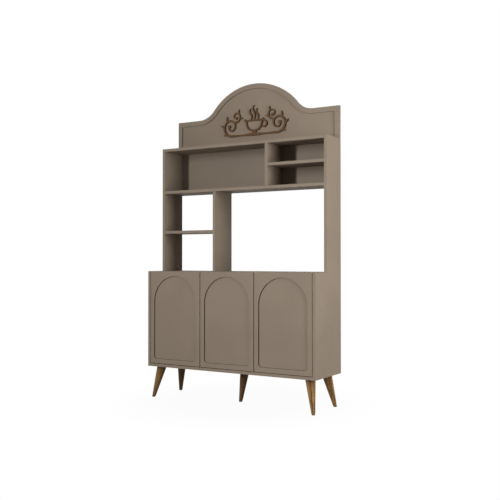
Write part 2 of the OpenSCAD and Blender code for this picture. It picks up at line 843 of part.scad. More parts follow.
// Outline of a door's field: a half-round arch on straight sides with soft lower corners
module door_field() {
  w = door_w - 2 * field_rim;
  spring_z = door_h - field_rim - w / 2;
  r = field_corner_r;
  translate([field_rim + w / 2, spring_z]) circle(r = w / 2, $fn = 120);
  translate([field_rim, field_rim + r]) square([w, spring_z - field_rim - r]);
  translate([field_rim + r, field_rim]) square([w - 2 * r, r]);
  for (x = [field_rim + r, door_w - field_rim - r])
    translate([x, field_rim + r]) circle(r = r);
}

module door(i) {
  color(taupe) at_door(i) difference() {
    translate([0, front_y, door_z]) cube([door_w, board_t, door_h]);
    translate([0, front_y + field_recess, door_z]) rotate([90, 0, 0])
      linear_extrude(field_recess + past) door_field();
    for (z = hinge_zs) translate([cup_x, door_back_y, z]) {
      rotate([90, 0, 0]) translate([0, 0, -past]) cylinder(h = cup_depth + past, r = cup_r);
      cup_screw_rods(bore_gap);
    }
  }
}

// Pair of screws that hold a cup, driven through its flange into the door
module cup_screw_rods(gap = 0) {
  for (s = [-1, 1]) translate([cup_screw_x, hinge_sheet, s * cup_screw_z]) rotate([90, 0, 0])
    cylinder(h = screw_len + gap, r = screw_r + gap);
}

// Pressed hinge cup with its flange
module hinge_cups(i) {
  wall = 1;
  color(steel) at_door(i) for (z = hinge_zs) translate([cup_x, door_back_y, z]) difference() {
    union() {
      rotate([90, 0, 0]) cylinder(h = cup_depth, r = cup_r);
      translate([0, hinge_sheet, 0]) rotate([90, 0, 0]) linear_extrude(hinge_sheet) {
        circle(r = cup_r + cup_flange);
        for (s = [-1, 1]) translate([cup_screw_x, s * cup_screw_z]) circle(r = screw_head_r + screw_ear);
        translate([cup_screw_x - screw_head_r - screw_ear, -cup_screw_z])
          square([2 * (screw_head_r + screw_ear), 2 * cup_screw_z]);
      }
    }
    translate([0, hinge_sheet + past, 0]) rotate([90, 0, 0])
      cylinder(h = cup_depth + hinge_sheet + past - wall, r = cup_r - wall);
    cup_screw_rods(bore_gap);
  }
}

module cup_screws(i) {
  color(zinc) at_door(i) for (z = hinge_zs) translate([cup_x, door_back_y, z]) cup_screw_rods();
}

// Steel disc that the plunger's magnet holds
module strike(i) {
  color(steel) at_door(i) translate([door_w - latch_edge, door_back_y + strike_t, latch_z])
    rotate([90, 0, 0]) cylinder(h = strike_t, r = strike_r);
}

// Soft pads that meet the worktop's front edge
module pads(i) {
  color(white) at_door(i) for (x = [latch_edge / 2, door_w - latch_edge / 2])
    translate([x, door_back_y + pad_t, pad_z]) rotate([90, 0, 0]) cylinder(h = pad_t, r = pad_r);
}

// Screws of the mounting plates, and the bores they leave in the case
module plate_screw_rods(i, gap = 0) {
  at_door(i) for (z = hinge_zs, s = [-1, 1])
    translate([hinge_face(i), plate_y + plate_w / 2, z + s * plate_screw_z]) {
      rod_x(-screw_len - gap, plate_t, screw_r + gap);
      if (gap == 0) rod_x(plate_t, plate_t + screw_head_t, screw_head_r);
    }
}

module hinge_case_bores(i) {
  plate_screw_rods(i, bore_gap);
}

module hinge_plate_screws() {
  color(zinc) for (i = [0:2]) plate_screw_rods(i);
}

// Mounting plate: two wings on the case and a raised bridge that carries the arm
module hinge_plates() {
  color(steel) for (i = [0:2]) difference() {
    at_door(i) for (z = hinge_zs) translate([hinge_face(i), plate_y, z]) {
      translate([0, 0, -plate_h / 2]) cube([plate_t, plate_w, plate_h]);
      translate([0, -plate_w / 2, -bridge_h / 2]) cube([arm_seat(i), 2 * plate_w, bridge_h]);
    }
    plate_screw_rods(i, bore_gap);
  }
}

// Height of the arm above the case, and the arm's bent side view
function arm_seat(i) = i == 1 ? 6 : 8;

module hinge_arms() {
  arm_t = 4;
  nose = 10;
  color(steel) for (i = [0:2]) at_door(i) for (z = hinge_zs)
    translate([0, 0, z - arm_w / 2]) linear_extrude(arm_w) {
      x = hinge_face(i) + arm_seat(i);
      end_y = door_back_y + arm_len;
      polygon([[x, end_y], [x, plate_y - plate_w / 2], [cup_x - nose / 2, arm_y],
        [cup_x + nose / 2, arm_y], [x + arm_t, plate_y - plate_w / 4], [x + arm_t, end_y]]);
    }
}

// Latch housing: a rounded case with a screwed tab on each side, bored for the plunger
module latch_housings() {
  color(white) for (i = [0:2]) difference() {
    at_door(i) translate([door_w - latch_edge, latch_y, latch_z]) {
      translate([0, latch_len, 0]) rotate([90, 0, 0]) linear_extrude(latch_len) {
        circle(r = latch_w / 2);
        translate([-latch_w / 2, 0]) square([latch_w, latch_h / 2]);
      }
      translate([-latch_w / 2 - latch_tab, latch_tab_y - latch_tab_len / 2, latch_h / 2 - latch_tab_t])
        cube([latch_w + 2 * latch_tab, latch_tab_len, latch_tab_t]);
    }
    at_door(i) translate([door_w - latch_edge, latch_y - past, latch_z])
      rotate([-90, 0, 0]) cylinder(h = plunger_len + past, r = plunger_r + plunger_gap);
    latch_screw_rods();
  }
}

module at_latch_screws() {
  for (i = [0:2]) at_door(i) for (s = [-1, 1])
    translate([door_w - latch_edge + s * (latch_w + latch_tab) / 2, latch_y + latch_tab_y,
      under_top_z - latch_tab_t])
      children();
}

module latch_screw_rods() {
  at_latch_screws() cylinder(h = latch_screw_len, r = latch_screw_r);
}

module latch_screws() {
  color(zinc) {
    latch_screw_rods();
    at_latch_screws() translate([0, 0, -latch_screw_head_t])
      cylinder(h = latch_screw_head_t, r = latch_screw_head_r);
  }
}

// Plunger with a wider magnet head in front of its housing
module latch_plunger(i) {
  head = 2;
  color(black) at_door(i) translate([door_w - latch_edge, plunger_y, latch_z]) rotate([-90, 0, 0]) {
    cylinder(h = plunger_len - 2, r = plunger_r);
    cylinder(h = head, r = plunger_r + 1);
  }
}

base_side(-1);  // base_side_left
base_side(1);  // base_side_right
base_bottom();
base_top();
base_partition();
base_back();
base_shelf(base_bays[0]);  // base_shelf_left
base_shelf(base_bays[1]);  // base_shelf_right
shelf_pins();
hutch_side(-1);  // hutch_side_left
hutch_side(1);  // hutch_side_right
hutch_top();
hutch_middle_board();
hutch_divider_lower();
hutch_divider_upper();
hutch_shelf_left();
hutch_shelf_right();
hutch_back();
crest_panel();
crest_ornament();
crest_screws();
leg(0);  // leg_front_left
leg(1);  // leg_front_right
leg(2);  // leg_back_left
leg(3);  // leg_back_right
leg(4);  // leg_middle
leg_bolts();
leg_inserts();
leg_glides();
base_dowels();
hutch_dowels();
cam_locks(base_cam_places);  // base_cams
cam_locks(hutch_cam_places);  // hutch_cams
cam_bolts(base_cam_places);  // base_cam_bolts
cam_bolts(hutch_cam_places);  // hutch_cam_bolts
back_panel_pins();
hinge_arms();
hinge_plates();
hinge_plate_screws();
latch_housings();
latch_screws();
door(0);  // door_left
hinge_cups(0);  // door_left_cups
cup_screws(0);  // door_left_cup_screws
strike(0);  // door_left_strike
pads(0);  // door_left_pads
door(1);  // door_middle
hinge_cups(1);  // door_middle_cups
cup_screws(1);  // door_middle_cup_screws
strike(1);  // door_middle_strike
pads(1);  // door_middle_pads
door(2);  // door_right
hinge_cups(2);  // door_right_cups
cup_screws(2);  // door_right_cup_screws
strike(2);  // door_right_strike
pads(2);  // door_right_pads
latch_plunger(0);  // latch_plunger_left
latch_plunger(1);  // latch_plunger_middle
latch_plunger(2);  // latch_plunger_right
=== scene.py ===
"""Looks of the coffee bar cabinet over its CAD frame: boards, doors, crest, legs, ornament and fittings."""
import math

import bmesh
import bpy
import numpy as np
from bpy.props import FloatProperty, FloatVectorProperty, PointerProperty
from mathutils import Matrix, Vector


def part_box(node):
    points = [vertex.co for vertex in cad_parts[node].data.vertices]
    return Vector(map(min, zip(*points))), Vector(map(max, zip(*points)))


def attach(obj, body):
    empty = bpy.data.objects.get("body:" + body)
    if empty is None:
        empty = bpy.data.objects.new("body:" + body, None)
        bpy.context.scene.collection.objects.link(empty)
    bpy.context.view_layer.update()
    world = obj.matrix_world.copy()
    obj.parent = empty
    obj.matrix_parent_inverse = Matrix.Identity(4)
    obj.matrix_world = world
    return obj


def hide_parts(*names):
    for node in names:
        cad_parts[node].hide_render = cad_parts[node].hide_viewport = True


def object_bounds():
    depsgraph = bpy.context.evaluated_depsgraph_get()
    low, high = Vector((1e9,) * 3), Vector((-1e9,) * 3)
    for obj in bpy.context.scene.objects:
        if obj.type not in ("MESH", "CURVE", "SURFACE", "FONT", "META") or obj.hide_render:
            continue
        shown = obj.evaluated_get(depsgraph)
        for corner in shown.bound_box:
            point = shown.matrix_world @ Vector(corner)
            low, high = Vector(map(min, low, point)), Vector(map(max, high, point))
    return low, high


bl_info = {
    "name": "Coffee bar cabinet",
    "version": (1, 0, 0),
    "blender": (4, 5, 0),
    "location": "View3D > Sidebar > Coffee bar",
    "description": "Builds the looks of a coffee bar cabinet over its CAD frame",
    "category": "Object",
}

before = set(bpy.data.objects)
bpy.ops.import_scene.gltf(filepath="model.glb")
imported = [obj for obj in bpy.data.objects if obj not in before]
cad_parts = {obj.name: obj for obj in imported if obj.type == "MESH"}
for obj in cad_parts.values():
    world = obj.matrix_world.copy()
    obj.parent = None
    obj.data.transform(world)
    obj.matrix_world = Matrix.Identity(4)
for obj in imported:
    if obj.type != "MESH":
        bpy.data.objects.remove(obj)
cad_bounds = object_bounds()

MM = 0.001

# Meshes: the angle above which an edge is drawn crisp, the distance at which points are one, the length under
# which an edge is dropped, and what keeps a division off zero
SHARP_ANGLE = math.radians(14)
MERGE_DISTANCE = 1e-6
DROP_LENGTH = 1e-7
NEARLY_ZERO = 1e-9

# Cutters: how far they stand out of the faces that they open, the all but sharp edge of a rebate's cutter and
# the length of a countersink's
OVERCUT = 0.001
REBATE_EDGE = 1e-5
SINK_LENGTH = 0.003

# Steps of a rounding, points along the outlines of crest and fields, and columns round pockets, cups and legs
FILLET_STEPS = 3
HOLLOW_POINTS = 24
HALF_ARCH_POINTS = 30
FIELD_CORNER_POINTS = 13
FIELD_ARCH_POINTS = 61
POCKET_COLUMNS = 40
CUP_COLUMNS = 48
LEG_COLUMNS = 96

# First and last row of faces that the router has cut, counted from the floor of the field; these rows take
# the dark routed finish, which also paints the recess's shade
CREST_ROUTED_ROWS = (FILLET_STEPS - 2, FILLET_STEPS + 1)
DOOR_ROUTED_ROWS = (FILLET_STEPS - 2, 2 * FILLET_STEPS)

# Side of the hinges: 1 on the left and -1 on the right
DOORS = {"door_left": 1, "door_middle": 1, "door_right": -1}

# Lean of each corner leg from its foot to its head: 1 to the right or the back, -1 to the left or the front
CORNER_LEGS = {
    "leg_front_left": (1, 1),
    "leg_front_right": (-1, 1),
    "leg_back_left": (1, -1),
    "leg_back_right": (-1, -1),
}

# Painted shade on each leg: how much darker its wood is drawn, standing in for the shade that falls on it
PAINTED_LEG_SHADES = {
    "leg_front_left": 0.35,
    "leg_front_right": 0.0,
    "leg_back_left": 0.6,
    "leg_back_right": 0.0,
    "leg_middle": 0.6,
}

# Rows of a leg as shares of its length: those of the foot's eased edge, with how much smaller the radius is
# there, and those of the straight taper. Then how far the grain is shifted from one leg to the next.
FOOT_EASE = np.array([(0, 0.0012), (0.004, 0.0004), (0.012, 0)])
LEG_ROWS = np.linspace(0.03, 0.985, 30)
GRAIN_SHIFT = 0.37

# Volutes and counter curls of the ornament: angles in degrees, widths and lengths in millimetres. Each leaf
# has a place, counted in parts of the spiral from its start, and a length.
VOLUTE_START = -90
VOLUTE_TURN = 470
VOLUTE_WIDTHS = (15, 8)
VOLUTE_EYE = 11
VOLUTE_LEAVES = ((3, 28), (8, 36), (13, 40))
CURL_LEAN = 122
CURL_TURN = -400
CURL_WIDTHS = (12, 7)
CURL_EYE = 9
CURL_LEAVES = ((10, 26), (18, 30))
SPIRAL_PARTS = 44
SPIRAL_POINTS = 90
STEM_WIDTH = 6
STEM_POINTS = 11
LEAF_ANGLE = 48
LEAF_SLENDER = 3
LEAF_POINTS = 25

# Cup of the ornament: powers that square its half ellipse, place of the handle's centre from the bowl's side
# and the middle, and half sweep of the handle in degrees
BOWL_SIDE_POWER = 0.7
BOWL_FOOT_POWER = 0.85
HANDLE_PLACE = (9, -20)
HANDLE_SWEEP = 112
CUP_POINTS = 49
RIM_POINTS = 25
FOOT_POINTS = 5

# Steam, in millimetres: side and height of each wisp, its sway, its width at the ends and its swell between
STEAM = ((-1, 70), (0, 92), (1, 70))
STEAM_SWAY = 8
STEAM_WIDTH = 3
STEAM_SWELL = 8
STEAM_POINTS = 41

# Points of a half disc, and how much thinner each strip of the ornament is than the last
DISC_POINTS = 33
STRIP_STEP = 0.00004

# Camera: place, turn in degrees, focal length and sensor in millimetres
CAMERA_PLACE = (2.5452, -4.0926, 0.88535)
CAMERA_TURN = (90.70, 0, 31.23)
CAMERA_LENS = 55.54
CAMERA_SENSOR = 36

# Each lamp's place, what it faces, its width and height, and whether gloss reflects it
LAMPS = {
    "key_lamp": ((-1.62, -3.53, 1.75), (2.16, -3.3, 1.5), 0.6, 1.9, True),
    "back_lamp": ((-2.6, 3.8, 1.8), (0, 0, 1.1), 1.2, 1.8, False),
    "side_lamp": ((2.5, -0.48, 1.32), (0.6, 0, 1.1), 0.7, 1.8, True),
}

# Surroundings: way to the window and how near to it the light starts to swell, as the cosine of the angle
WINDOW_DIRECTION = (0.8, -0.55, 0.25)
WINDOW_EDGE = 0.45

# Floor: tone of its paint, half of its width, and the distances from its middle between which it turns white
FLOOR_TONE = 0.17
FLOOR_HALF = 40.0
FLOOR_WHITE = (0.4, 0.9)


def paint(red, green, blue):
    """Colour of a paint card, given in screen values up to 255, as the light that a screen makes of it."""
    card = np.array([red, green, blue]) / 255
    light = np.where(card > 0.04045, ((card + 0.055) / 1.055) ** 2.4, card / 12.92)
    return tuple(float(value) for value in light)


def millimetres(name, description, value):
    """A length property whose default is given in millimetres."""
    return FloatProperty(
        name=name, description=description, default=value / 1000, min=0, unit="LENGTH", precision=4)


def finish_colour(name, description, red, green, blue):
    """A colour property whose default is read off a paint card."""
    return FloatVectorProperty(
        name=name, description=description, default=paint(red, green, blue), min=0, max=1, size=3,
        subtype="COLOR")


class CabinetSizes(bpy.types.PropertyGroup):
    """Sizes of the boards, doors, crest and legs."""

    board_edge: millimetres("Board edge", "Rounding of the edges of the boards", 0.3)
    door_edge: millimetres("Door edge", "Rounding of the edges of the doors", 0.6)
    field_rim: millimetres("Field rim", "Width of the rim round a door's arched field", 30)
    field_recess: millimetres("Field recess", "Depth of a door's arched field", 6)
    field_corner: millimetres("Field corner", "Corner radius at the foot of a door's field", 20)
    routed_edge: millimetres("Routed edge", "Rounding that the router leaves along a field", 0.5)
    crest_shoulder: millimetres("Crest shoulder", "Height of the crest's straight shoulders", 201)
    crest_arch: millimetres("Crest arch", "Radius of the crest's arch", 400)
    crest_hollow: millimetres("Crest hollow", "Radius of the hollow curve beside the arch", 150)
    crest_rim: millimetres("Crest rim", "Width of the rim round the crest's field", 31)
    crest_recess: millimetres("Crest recess", "Depth of the crest's field", 6)
    leg_top: millimetres("Leg top", "Radius of a leg at the bottom board", 30.5)
    leg_tip: millimetres("Leg tip", "Radius of a leg at its foot", 10.6)
    leg_lean: millimetres("Leg lean", "Sideways distance from a leg's foot to its head", 54)
    foot_inset: millimetres("Foot inset", "Distance of a corner foot from the outer faces", 26)
    middle_foot: millimetres("Middle foot", "Distance of the middle foot behind the front", 165)
    cup_radius: millimetres("Cup radius", "Radius of a hinge cup's bore", 17.5)
    cup_depth: millimetres("Cup depth", "Depth of a hinge cup's bore", 11)
    cup_edge: millimetres("Cup edge", "Distance from a door's edge to the cup's bore", 3)
    hinge_end: millimetres("Hinge end", "Distance of a hinge from the end of its door", 95)


class FittingSizes(bpy.types.PropertyGroup):
    """Places and sizes of the cam locks and crest screws, whose pockets the boards leave open."""

    cam_radius: millimetres("Cam radius", "Radius of a cam lock", 7.5)
    cam_depth: millimetres("Cam depth", "Depth of a cam lock", 13)
    cam_reach: millimetres("Cam reach", "Distance of a cam lock from the end of its board", 34)
    base_cam: millimetres("Base cams", "Distance of the base's cam locks from the middle", 72.5)
    partition_front_cam: millimetres(
        "Partition front cam", "Distance of the front cam locks before the middle", 100)
    partition_back_cam: millimetres(
        "Partition back cam", "Distance of the back cam locks behind the middle", 75)
    hutch_cam: millimetres("Hutch cams", "Distance of the hutch's cam locks from its middle", 40)
    stand_cam: millimetres(
        "Stand cams", "Distance of the cam locks in the hutch's sides from its middle", 50)
    screw_head: millimetres("Screw head", "Radius of a crest screw's countersunk head", 4)
    screw_behind: millimetres("Screw setback", "Distance of the crest screws before the back", 7.5)
    screw_outer: millimetres("Outer screws", "Distance of the outer crest screws from the middle", 450)
    screw_inner: millimetres("Inner screws", "Distance of the inner crest screws from the middle", 150)


class OrnamentSizes(bpy.types.PropertyGroup):
    """Sizes of the fretwork ornament: a steaming cup between two volutes."""

    thickness: millimetres("Thickness", "Thickness of the fretwork", 9)
    height: millimetres("Height", "Height of the ornament's middle above the hutch", 160)
    edge: millimetres("Edge", "Rounding of the sanded edges", 0.7)
    cup_half: millimetres("Cup half", "Half width of the cup", 64)
    cup_tall: millimetres("Cup height", "Height of the cup's bowl", 76)
    cup_rim: millimetres("Cup rim", "Height of the cup's rim above the middle", 12)
    cup_line: millimetres("Cup line", "Width of the cup's outline", 11)
    foot_half: millimetres("Foot half", "Half width of the cup's foot", 16)
    handle_radius: millimetres("Handle", "Outer radius of the handle", 26)
    saucer_drop: millimetres("Saucer", "Depth of the saucer's middle below the ornament's", 84)
    saucer_half: millimetres("Saucer half", "Half width of the saucer", 122)
    saucer_thick: millimetres("Saucer thickness", "Width of the saucer in its middle", 17)
    steam_gap: millimetres("Steam gap", "Distance between two wisps of steam", 25)
    volute_out: millimetres("Volute place", "Distance of a volute from the middle", 176)
    volute_drop: millimetres("Volute drop", "Depth of a volute below the middle", 25)
    volute_radius: millimetres("Volute radius", "Radius of a volute where it starts", 59)
    volute_end: millimetres("Volute end", "Radius of a volute where it ends", 13)
    curl_radius: millimetres("Curl radius", "Radius of the counter curl where it starts", 38)
    curl_end: millimetres("Curl end", "Radius of the counter curl where it ends", 9)


class CabinetColours(bpy.types.PropertyGroup):
    """Colours of the finishes."""

    taupe: finish_colour("Taupe", "Satin laminate of the boards", 144, 130, 115)
    # Painted shade: the routed colour is drawn darker than bare fibre, standing in for the shade in the
    # fields' recesses and the doors' gaps
    routed_shade: finish_colour("Routed edge", "Fibre laid bare by the router", 31, 21, 14)
    walnut_pale: finish_colour("Walnut, pale grain", "Pale streaks of the legs", 202, 155, 94)
    walnut_dark: finish_colour("Walnut, dark grain", "Dark streaks of the legs", 78, 54, 31)
    fretwork: finish_colour("Fretwork", "Dark stain of the ornament's faces", 98, 70, 40)
    char: finish_colour("Char", "Sawn edges of the ornament", 32, 23, 15)
    beech: finish_colour("Beech", "Dowels", 205, 168, 120)
    hardboard: finish_colour("Hardboard", "Raw backs of the back panels", 118, 90, 64)
    zinc: finish_colour("Zinc", "Cast cam locks, bolts and screws", 176, 178, 180)
    steel: finish_colour("Steel", "Pressed and nickel plated hinges", 196, 196, 192)
    black_plastic: finish_colour("Black plastic", "Glides and plungers", 38, 38, 38)
    grey_plastic: finish_colour("Grey plastic", "Latch housings", 150, 150, 148)
    clear_pad: finish_colour("Clear pad", "Soft bumper pads", 214, 214, 208)


class Studio(bpy.types.PropertyGroup):
    """Powers of the lamps, light of the surroundings and shadow on the floor."""

    key_power: FloatProperty(
        name="Key lamp", description="Power of the lamp at the front left", default=220, min=0, unit="POWER")
    side_power: FloatProperty(
        name="Side lamp", description="Power of the lamp at the right", default=46.5, min=0, unit="POWER")
    back_power: FloatProperty(
        name="Back lamp", description="Power of the lamp at the back left", default=105, min=0, unit="POWER")
    sky: FloatProperty(name="Sky", description="Strength of the light from all round", default=0.16, min=0)
    window: FloatProperty(
        name="Window", description="Strength of the soft light from the front right", default=0.17, min=0)
    shadow: FloatProperty(
        name="Shadow", description="How strongly the camera sees the floor's shadows near the cabinet",
        default=0.04, min=0, max=1, subtype="FACTOR")


def sizes():
    """Sizes of the boards, doors, crest and legs that the scene holds."""
    return bpy.context.scene.cabinet_sizes


def fitting_sizes():
    """Places and sizes of the fittings that the scene holds."""
    return bpy.context.scene.cabinet_fittings


def ornament_sizes():
    """Sizes of the ornament that the scene holds."""
    return bpy.context.scene.cabinet_ornament


def colours():
    """Colours of the finishes that the scene holds."""
    return bpy.context.scene.cabinet_colours


def place(node):
    """Lowest and highest corner of a CAD node as arrays."""
    low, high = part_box(node)
    return np.array(low), np.array(high)


# Surfaces

def quads(rows, columns, start):
    """Corner numbers of the faces of a grid that is closed across its columns."""
    row, column = np.mgrid[0:rows - 1, 0:columns]
    here = row * columns + column
    beside = row * columns + (column + 1) % columns
    return np.stack([here, beside, beside + columns, here + columns], axis=-1).reshape(-1, 4) + start


def shell(name, grids, open_seam=False, routed_rows=None):
    """One object out of closed skins. Each grid runs along a path by rows and round a section by columns, and
    its first and last row are closed by flat faces. With an open seam the faces across the seam become one
    flat face. The faces of the rows that the router has cut, first to last, take the piece's second material,
    the dark routed finish that also paints the shade of the recess."""
    points = []
    faces = []
    routed_shade = []
    start = 0
    for grid in grids:
        rows, columns = grid.shape[:2]
        skin = quads(rows, columns, start)
        if open_seam:
            skin = skin.reshape(rows - 1, columns, 4)[:, :-1].reshape(-1, 4)
            edge = np.arange(rows) * columns + start
            faces.append(np.concatenate([edge, edge[::-1] + columns - 1]).tolist())
        if routed_rows:
            per_row = len(skin) // (rows - 1)
            routed_shade.append(len(faces) + np.arange(routed_rows[0] * per_row, (routed_rows[1] + 1) * per_row))
        faces.extend(skin.tolist())
        faces.append((np.arange(columns) + start).tolist())
        faces.append((np.arange(columns) + start + (rows - 1) * columns).tolist())
        points.append(grid.reshape(-1, 3))
        start += rows * columns
    mesh = bpy.data.meshes.new(name)
    mesh.from_pydata(np.concatenate(points), [], faces)
    finish_number = np.zeros(len(faces), dtype=np.int32)
    for faces_of_rows in routed_shade:
        finish_number[faces_of_rows] = 1
    mesh.polygons.foreach_set("material_index", finish_number)
    tidy_mesh(mesh)
    piece = bpy.data.objects.new(name, mesh)
    bpy.context.collection.objects.link(piece)
    return piece


def tidy_mesh(mesh):
    """Joins points that coincide, turns every face outwards and keeps corners crisp."""
    work = bmesh.new()
    work.from_mesh(mesh)
    bmesh.ops.remove_doubles(work, verts=work.verts, dist=MERGE_DISTANCE)
    bmesh.ops.dissolve_degenerate(work, dist=DROP_LENGTH, edges=work.edges)
    bmesh.ops.recalc_face_normals(work, faces=work.faces)
    work.to_mesh(mesh)
    work.free()
    mesh.shade_smooth()
    mesh.set_sharp_from_angle(angle=SHARP_ANGLE)


def board_grid(low, high, edge, steps=FILLET_STEPS):
    """Box with rounded edges: a smaller core box whose corners are moved out along the directions of a
    sphere. Columns run round the upright axis and rows from the lower face to the upper one."""
    core_low, core_high = low + edge, high - edge
    around = np.linspace(0, math.pi / 2, steps + 1) + np.arange(4)[:, None] * math.pi / 2
    right = np.array([1, 0, 0, 1])[:, None] + 0 * around
    behind = np.array([1, 1, 0, 0])[:, None] + 0 * around
    around, right, behind = around.ravel(), right.ravel(), behind.ravel()
    rise = np.concatenate([np.linspace(-math.pi / 2, 0, steps + 1), np.linspace(0, math.pi / 2, steps + 1)])
    upper = np.repeat([0, 1], steps + 1)
    x = core_low[0] + right * (core_high - core_low)[0] + edge * np.cos(rise)[:, None] * np.cos(around)
    y = core_low[1] + behind * (core_high - core_low)[1] + edge * np.cos(rise)[:, None] * np.sin(around)
    z = core_low[2] + upper * (core_high - core_low)[2] + edge * np.sin(rise)
    return np.stack([x, y, z[:, None] + 0 * x], axis=-1)


def drum_grid(centre, axis, radius, length, columns=POCKET_COLUMNS):
    """Cylinder from the centre of one end along an axis: a circle carried from end to end."""
    angle = np.linspace(0, 2 * math.pi, columns, endpoint=False)
    ring = np.roll(np.stack([0 * angle, np.cos(angle), np.sin(angle)], axis=-1), axis, axis=-1) * radius
    along = np.roll([1.0, 0, 0], axis) * length
    return np.array(centre) + ring[None] + np.array([0, 1])[:, None, None] * along


def carve(piece, cutters):
    """Cuts closed grids out of a piece and keeps the result as its mesh."""
    tool = shell(piece.name + "_cutter", cutters)
    cut = piece.modifiers.new("Pockets", "BOOLEAN")
    cut.operation = "DIFFERENCE"
    cut.solver = "EXACT"
    cut.object = tool
    result = bpy.data.meshes.new_from_object(piece.evaluated_get(bpy.context.evaluated_depsgraph_get()))
    piece.modifiers.clear()
    piece.data = result
    result.name = piece.name
    bpy.data.objects.remove(tool)
    tidy_mesh(result)


def dress(piece, material, nodes, body="cabinet", routed_shade=None):
    """Gives a new piece its finish, its body and the CAD nodes that it stands for. The finish routed_shade
    goes on the faces of its second material: dark routed fibre that also paints shade."""
    number = np.zeros(len(piece.data.polygons), dtype=np.int32)
    piece.data.polygons.foreach_get("material_index", number)
    piece.data.materials.clear()
    piece.data.materials.append(material)
    if routed_shade:
        piece.data.materials.append(routed_shade)
        piece.data.polygons.foreach_set("material_index", number)
    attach(piece, body)
    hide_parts(*nodes)


def finish_nodes(material, *nodes):
    """Gives CAD nodes that stay as they are a finish."""
    for name in nodes:
        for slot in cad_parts[name].material_slots:
            slot.material = material


# Finishes

class Recipe:
    """How a surface or a light is mixed: a node tree, with short ways to add its nodes and to link them."""

    def __init__(self, owner):
        owner.use_nodes = True
        self.tree = owner.node_tree

    def put(self, socket, value):
        """Links a socket to another, or sets its value."""
        if isinstance(value, bpy.types.NodeSocket):
            self.tree.links.new(value, socket)
        elif socket.type == "RGBA":
            socket.default_value = (*value, 1)
        else:
            socket.default_value = value

    def add(self, kind, settings, **inputs):
        """Adds a node with its settings, and its inputs by name."""
        node = self.tree.nodes.new(kind)
        for key, value in settings.items():
            setattr(node, key, value)
        for key, value in inputs.items():
            self.put(node.inputs[key.replace("_", " ")], value)
        return node

    def spread(self, value, low, high, to_low=0.0, to_high=1.0):
        """Takes the range low to high of a value to another range, held at its ends."""
        node = self.add("ShaderNodeMapRange", {"clamp": True}, Value=value, From_Min=low, From_Max=high,
                        To_Min=to_low, To_Max=to_high)
        return node.outputs[0]

    def combine(self, operation, first, second):
        """Result of a sum, product or the like of two numbers."""
        node = self.add("ShaderNodeMath", {"operation": operation})
        self.put(node.inputs[0], first)
        self.put(node.inputs[1], second)
        return node.outputs[0]

    def white_to_lens(self, surface, glow, share):
        """Glow wherever the camera, gloss or glass looks at it, in a given share over the real surface."""
        path = self.add("ShaderNodeLightPath", {}).outputs
        seen = self.combine("MAXIMUM", path["Is Camera Ray"], path["Is Glossy Ray"])
        seen = self.combine("MAXIMUM", seen, path["Is Transmission Ray"])
        blend = self.add("ShaderNodeMixShader", {})
        self.put(blend.inputs[0], self.combine("MULTIPLY", seen, share))
        self.put(blend.inputs[1], surface)
        self.put(blend.inputs[2], glow)
        return blend.outputs[0]


class Finish(Recipe):
    """A material being made: its shader and the patterns of its colour, roughness and relief."""

    def __init__(self, name, **shader_values):
        self.material = bpy.data.materials.new(name)
        super().__init__(self.material)
        self.shader = self.tree.nodes["Principled BSDF"]
        for key, value in shader_values.items():
            self.put(self.shader.inputs[key.replace("_", " ")], value)

    def object_space(self, stretch=(1, 1, 1)):
        """Object coordinates, drawn out along the axes whose stretch is small."""
        space = self.add("ShaderNodeTexCoord", {}).outputs["Object"]
        return self.add("ShaderNodeMapping", {}, Vector=space, Scale=stretch).outputs[0]

    def attribute_space(self, name, stretch=(1, 1, 1)):
        """Coordinates that a piece carries itself, such as those along a leg."""
        space = self.add("ShaderNodeAttribute", {"attribute_name": name}).outputs["Vector"]
        return self.add("ShaderNodeMapping", {}, Vector=space, Scale=stretch).outputs[0]

    def noise(self, space, scale, detail=3.0, roughness=0.5, distortion=0.0):
        """Cloudy pattern between 0 and 1 with so many clouds to a metre."""
        node = self.add("ShaderNodeTexNoise", {}, Vector=space, Scale=scale, Detail=detail,
                        Roughness=roughness, Distortion=distortion)
        return node.outputs["Fac"]

    def mix(self, share, first, second, how="MIX"):
        """Blends two colours by a share."""
        node = self.add("ShaderNodeMix", {"data_type": "RGBA", "blend_type": how})
        self.put(node.inputs[0], share)
        self.put(node.inputs[6], first)
        self.put(node.inputs[7], second)
        return node.outputs[2]

    def edges(self, radius, low=0.02, high=0.25):
        """Share of edge at each point: how far the normal turns when it is averaged over a small radius."""
        soft = self.add("ShaderNodeBevel", {"samples": 4}, Radius=radius)
        flat = self.add("ShaderNodeNewGeometry", {})
        turn = self.add("ShaderNodeVectorMath", {"operation": "DOT_PRODUCT"})
        self.put(turn.inputs[0], soft.outputs[0])
        self.put(turn.inputs[1], flat.outputs["Normal"])
        return self.spread(turn.outputs["Value"], 1 - low, 1 - high)

    def bump(self, height, strength, distance, normal=None):
        """Normal of a relief of a given height in metres, laid over another normal if there is one."""
        node = self.add("ShaderNodeBump", {}, Height=height, Strength=strength, Distance=distance)
        if normal is not None:
            self.put(node.inputs["Normal"], normal)
        return node.outputs[0]

    def wear(self, colour, roughness, normal):
        """Connects colour, roughness and normal to the shader and returns the material."""
        self.put(self.shader.inputs["Base Color"], colour)
        self.put(self.shader.inputs["Roughness"], roughness)
        self.put(self.shader.inputs["Normal"], normal)
        return self.material


def shade(colour, factor):
    """Colour made lighter or darker by a factor."""
    return tuple(min(1.0, value * factor) for value in colour)


def kept(name, make):
    """The material of that name, made on its first use."""
    return bpy.data.materials.get(name) or make()


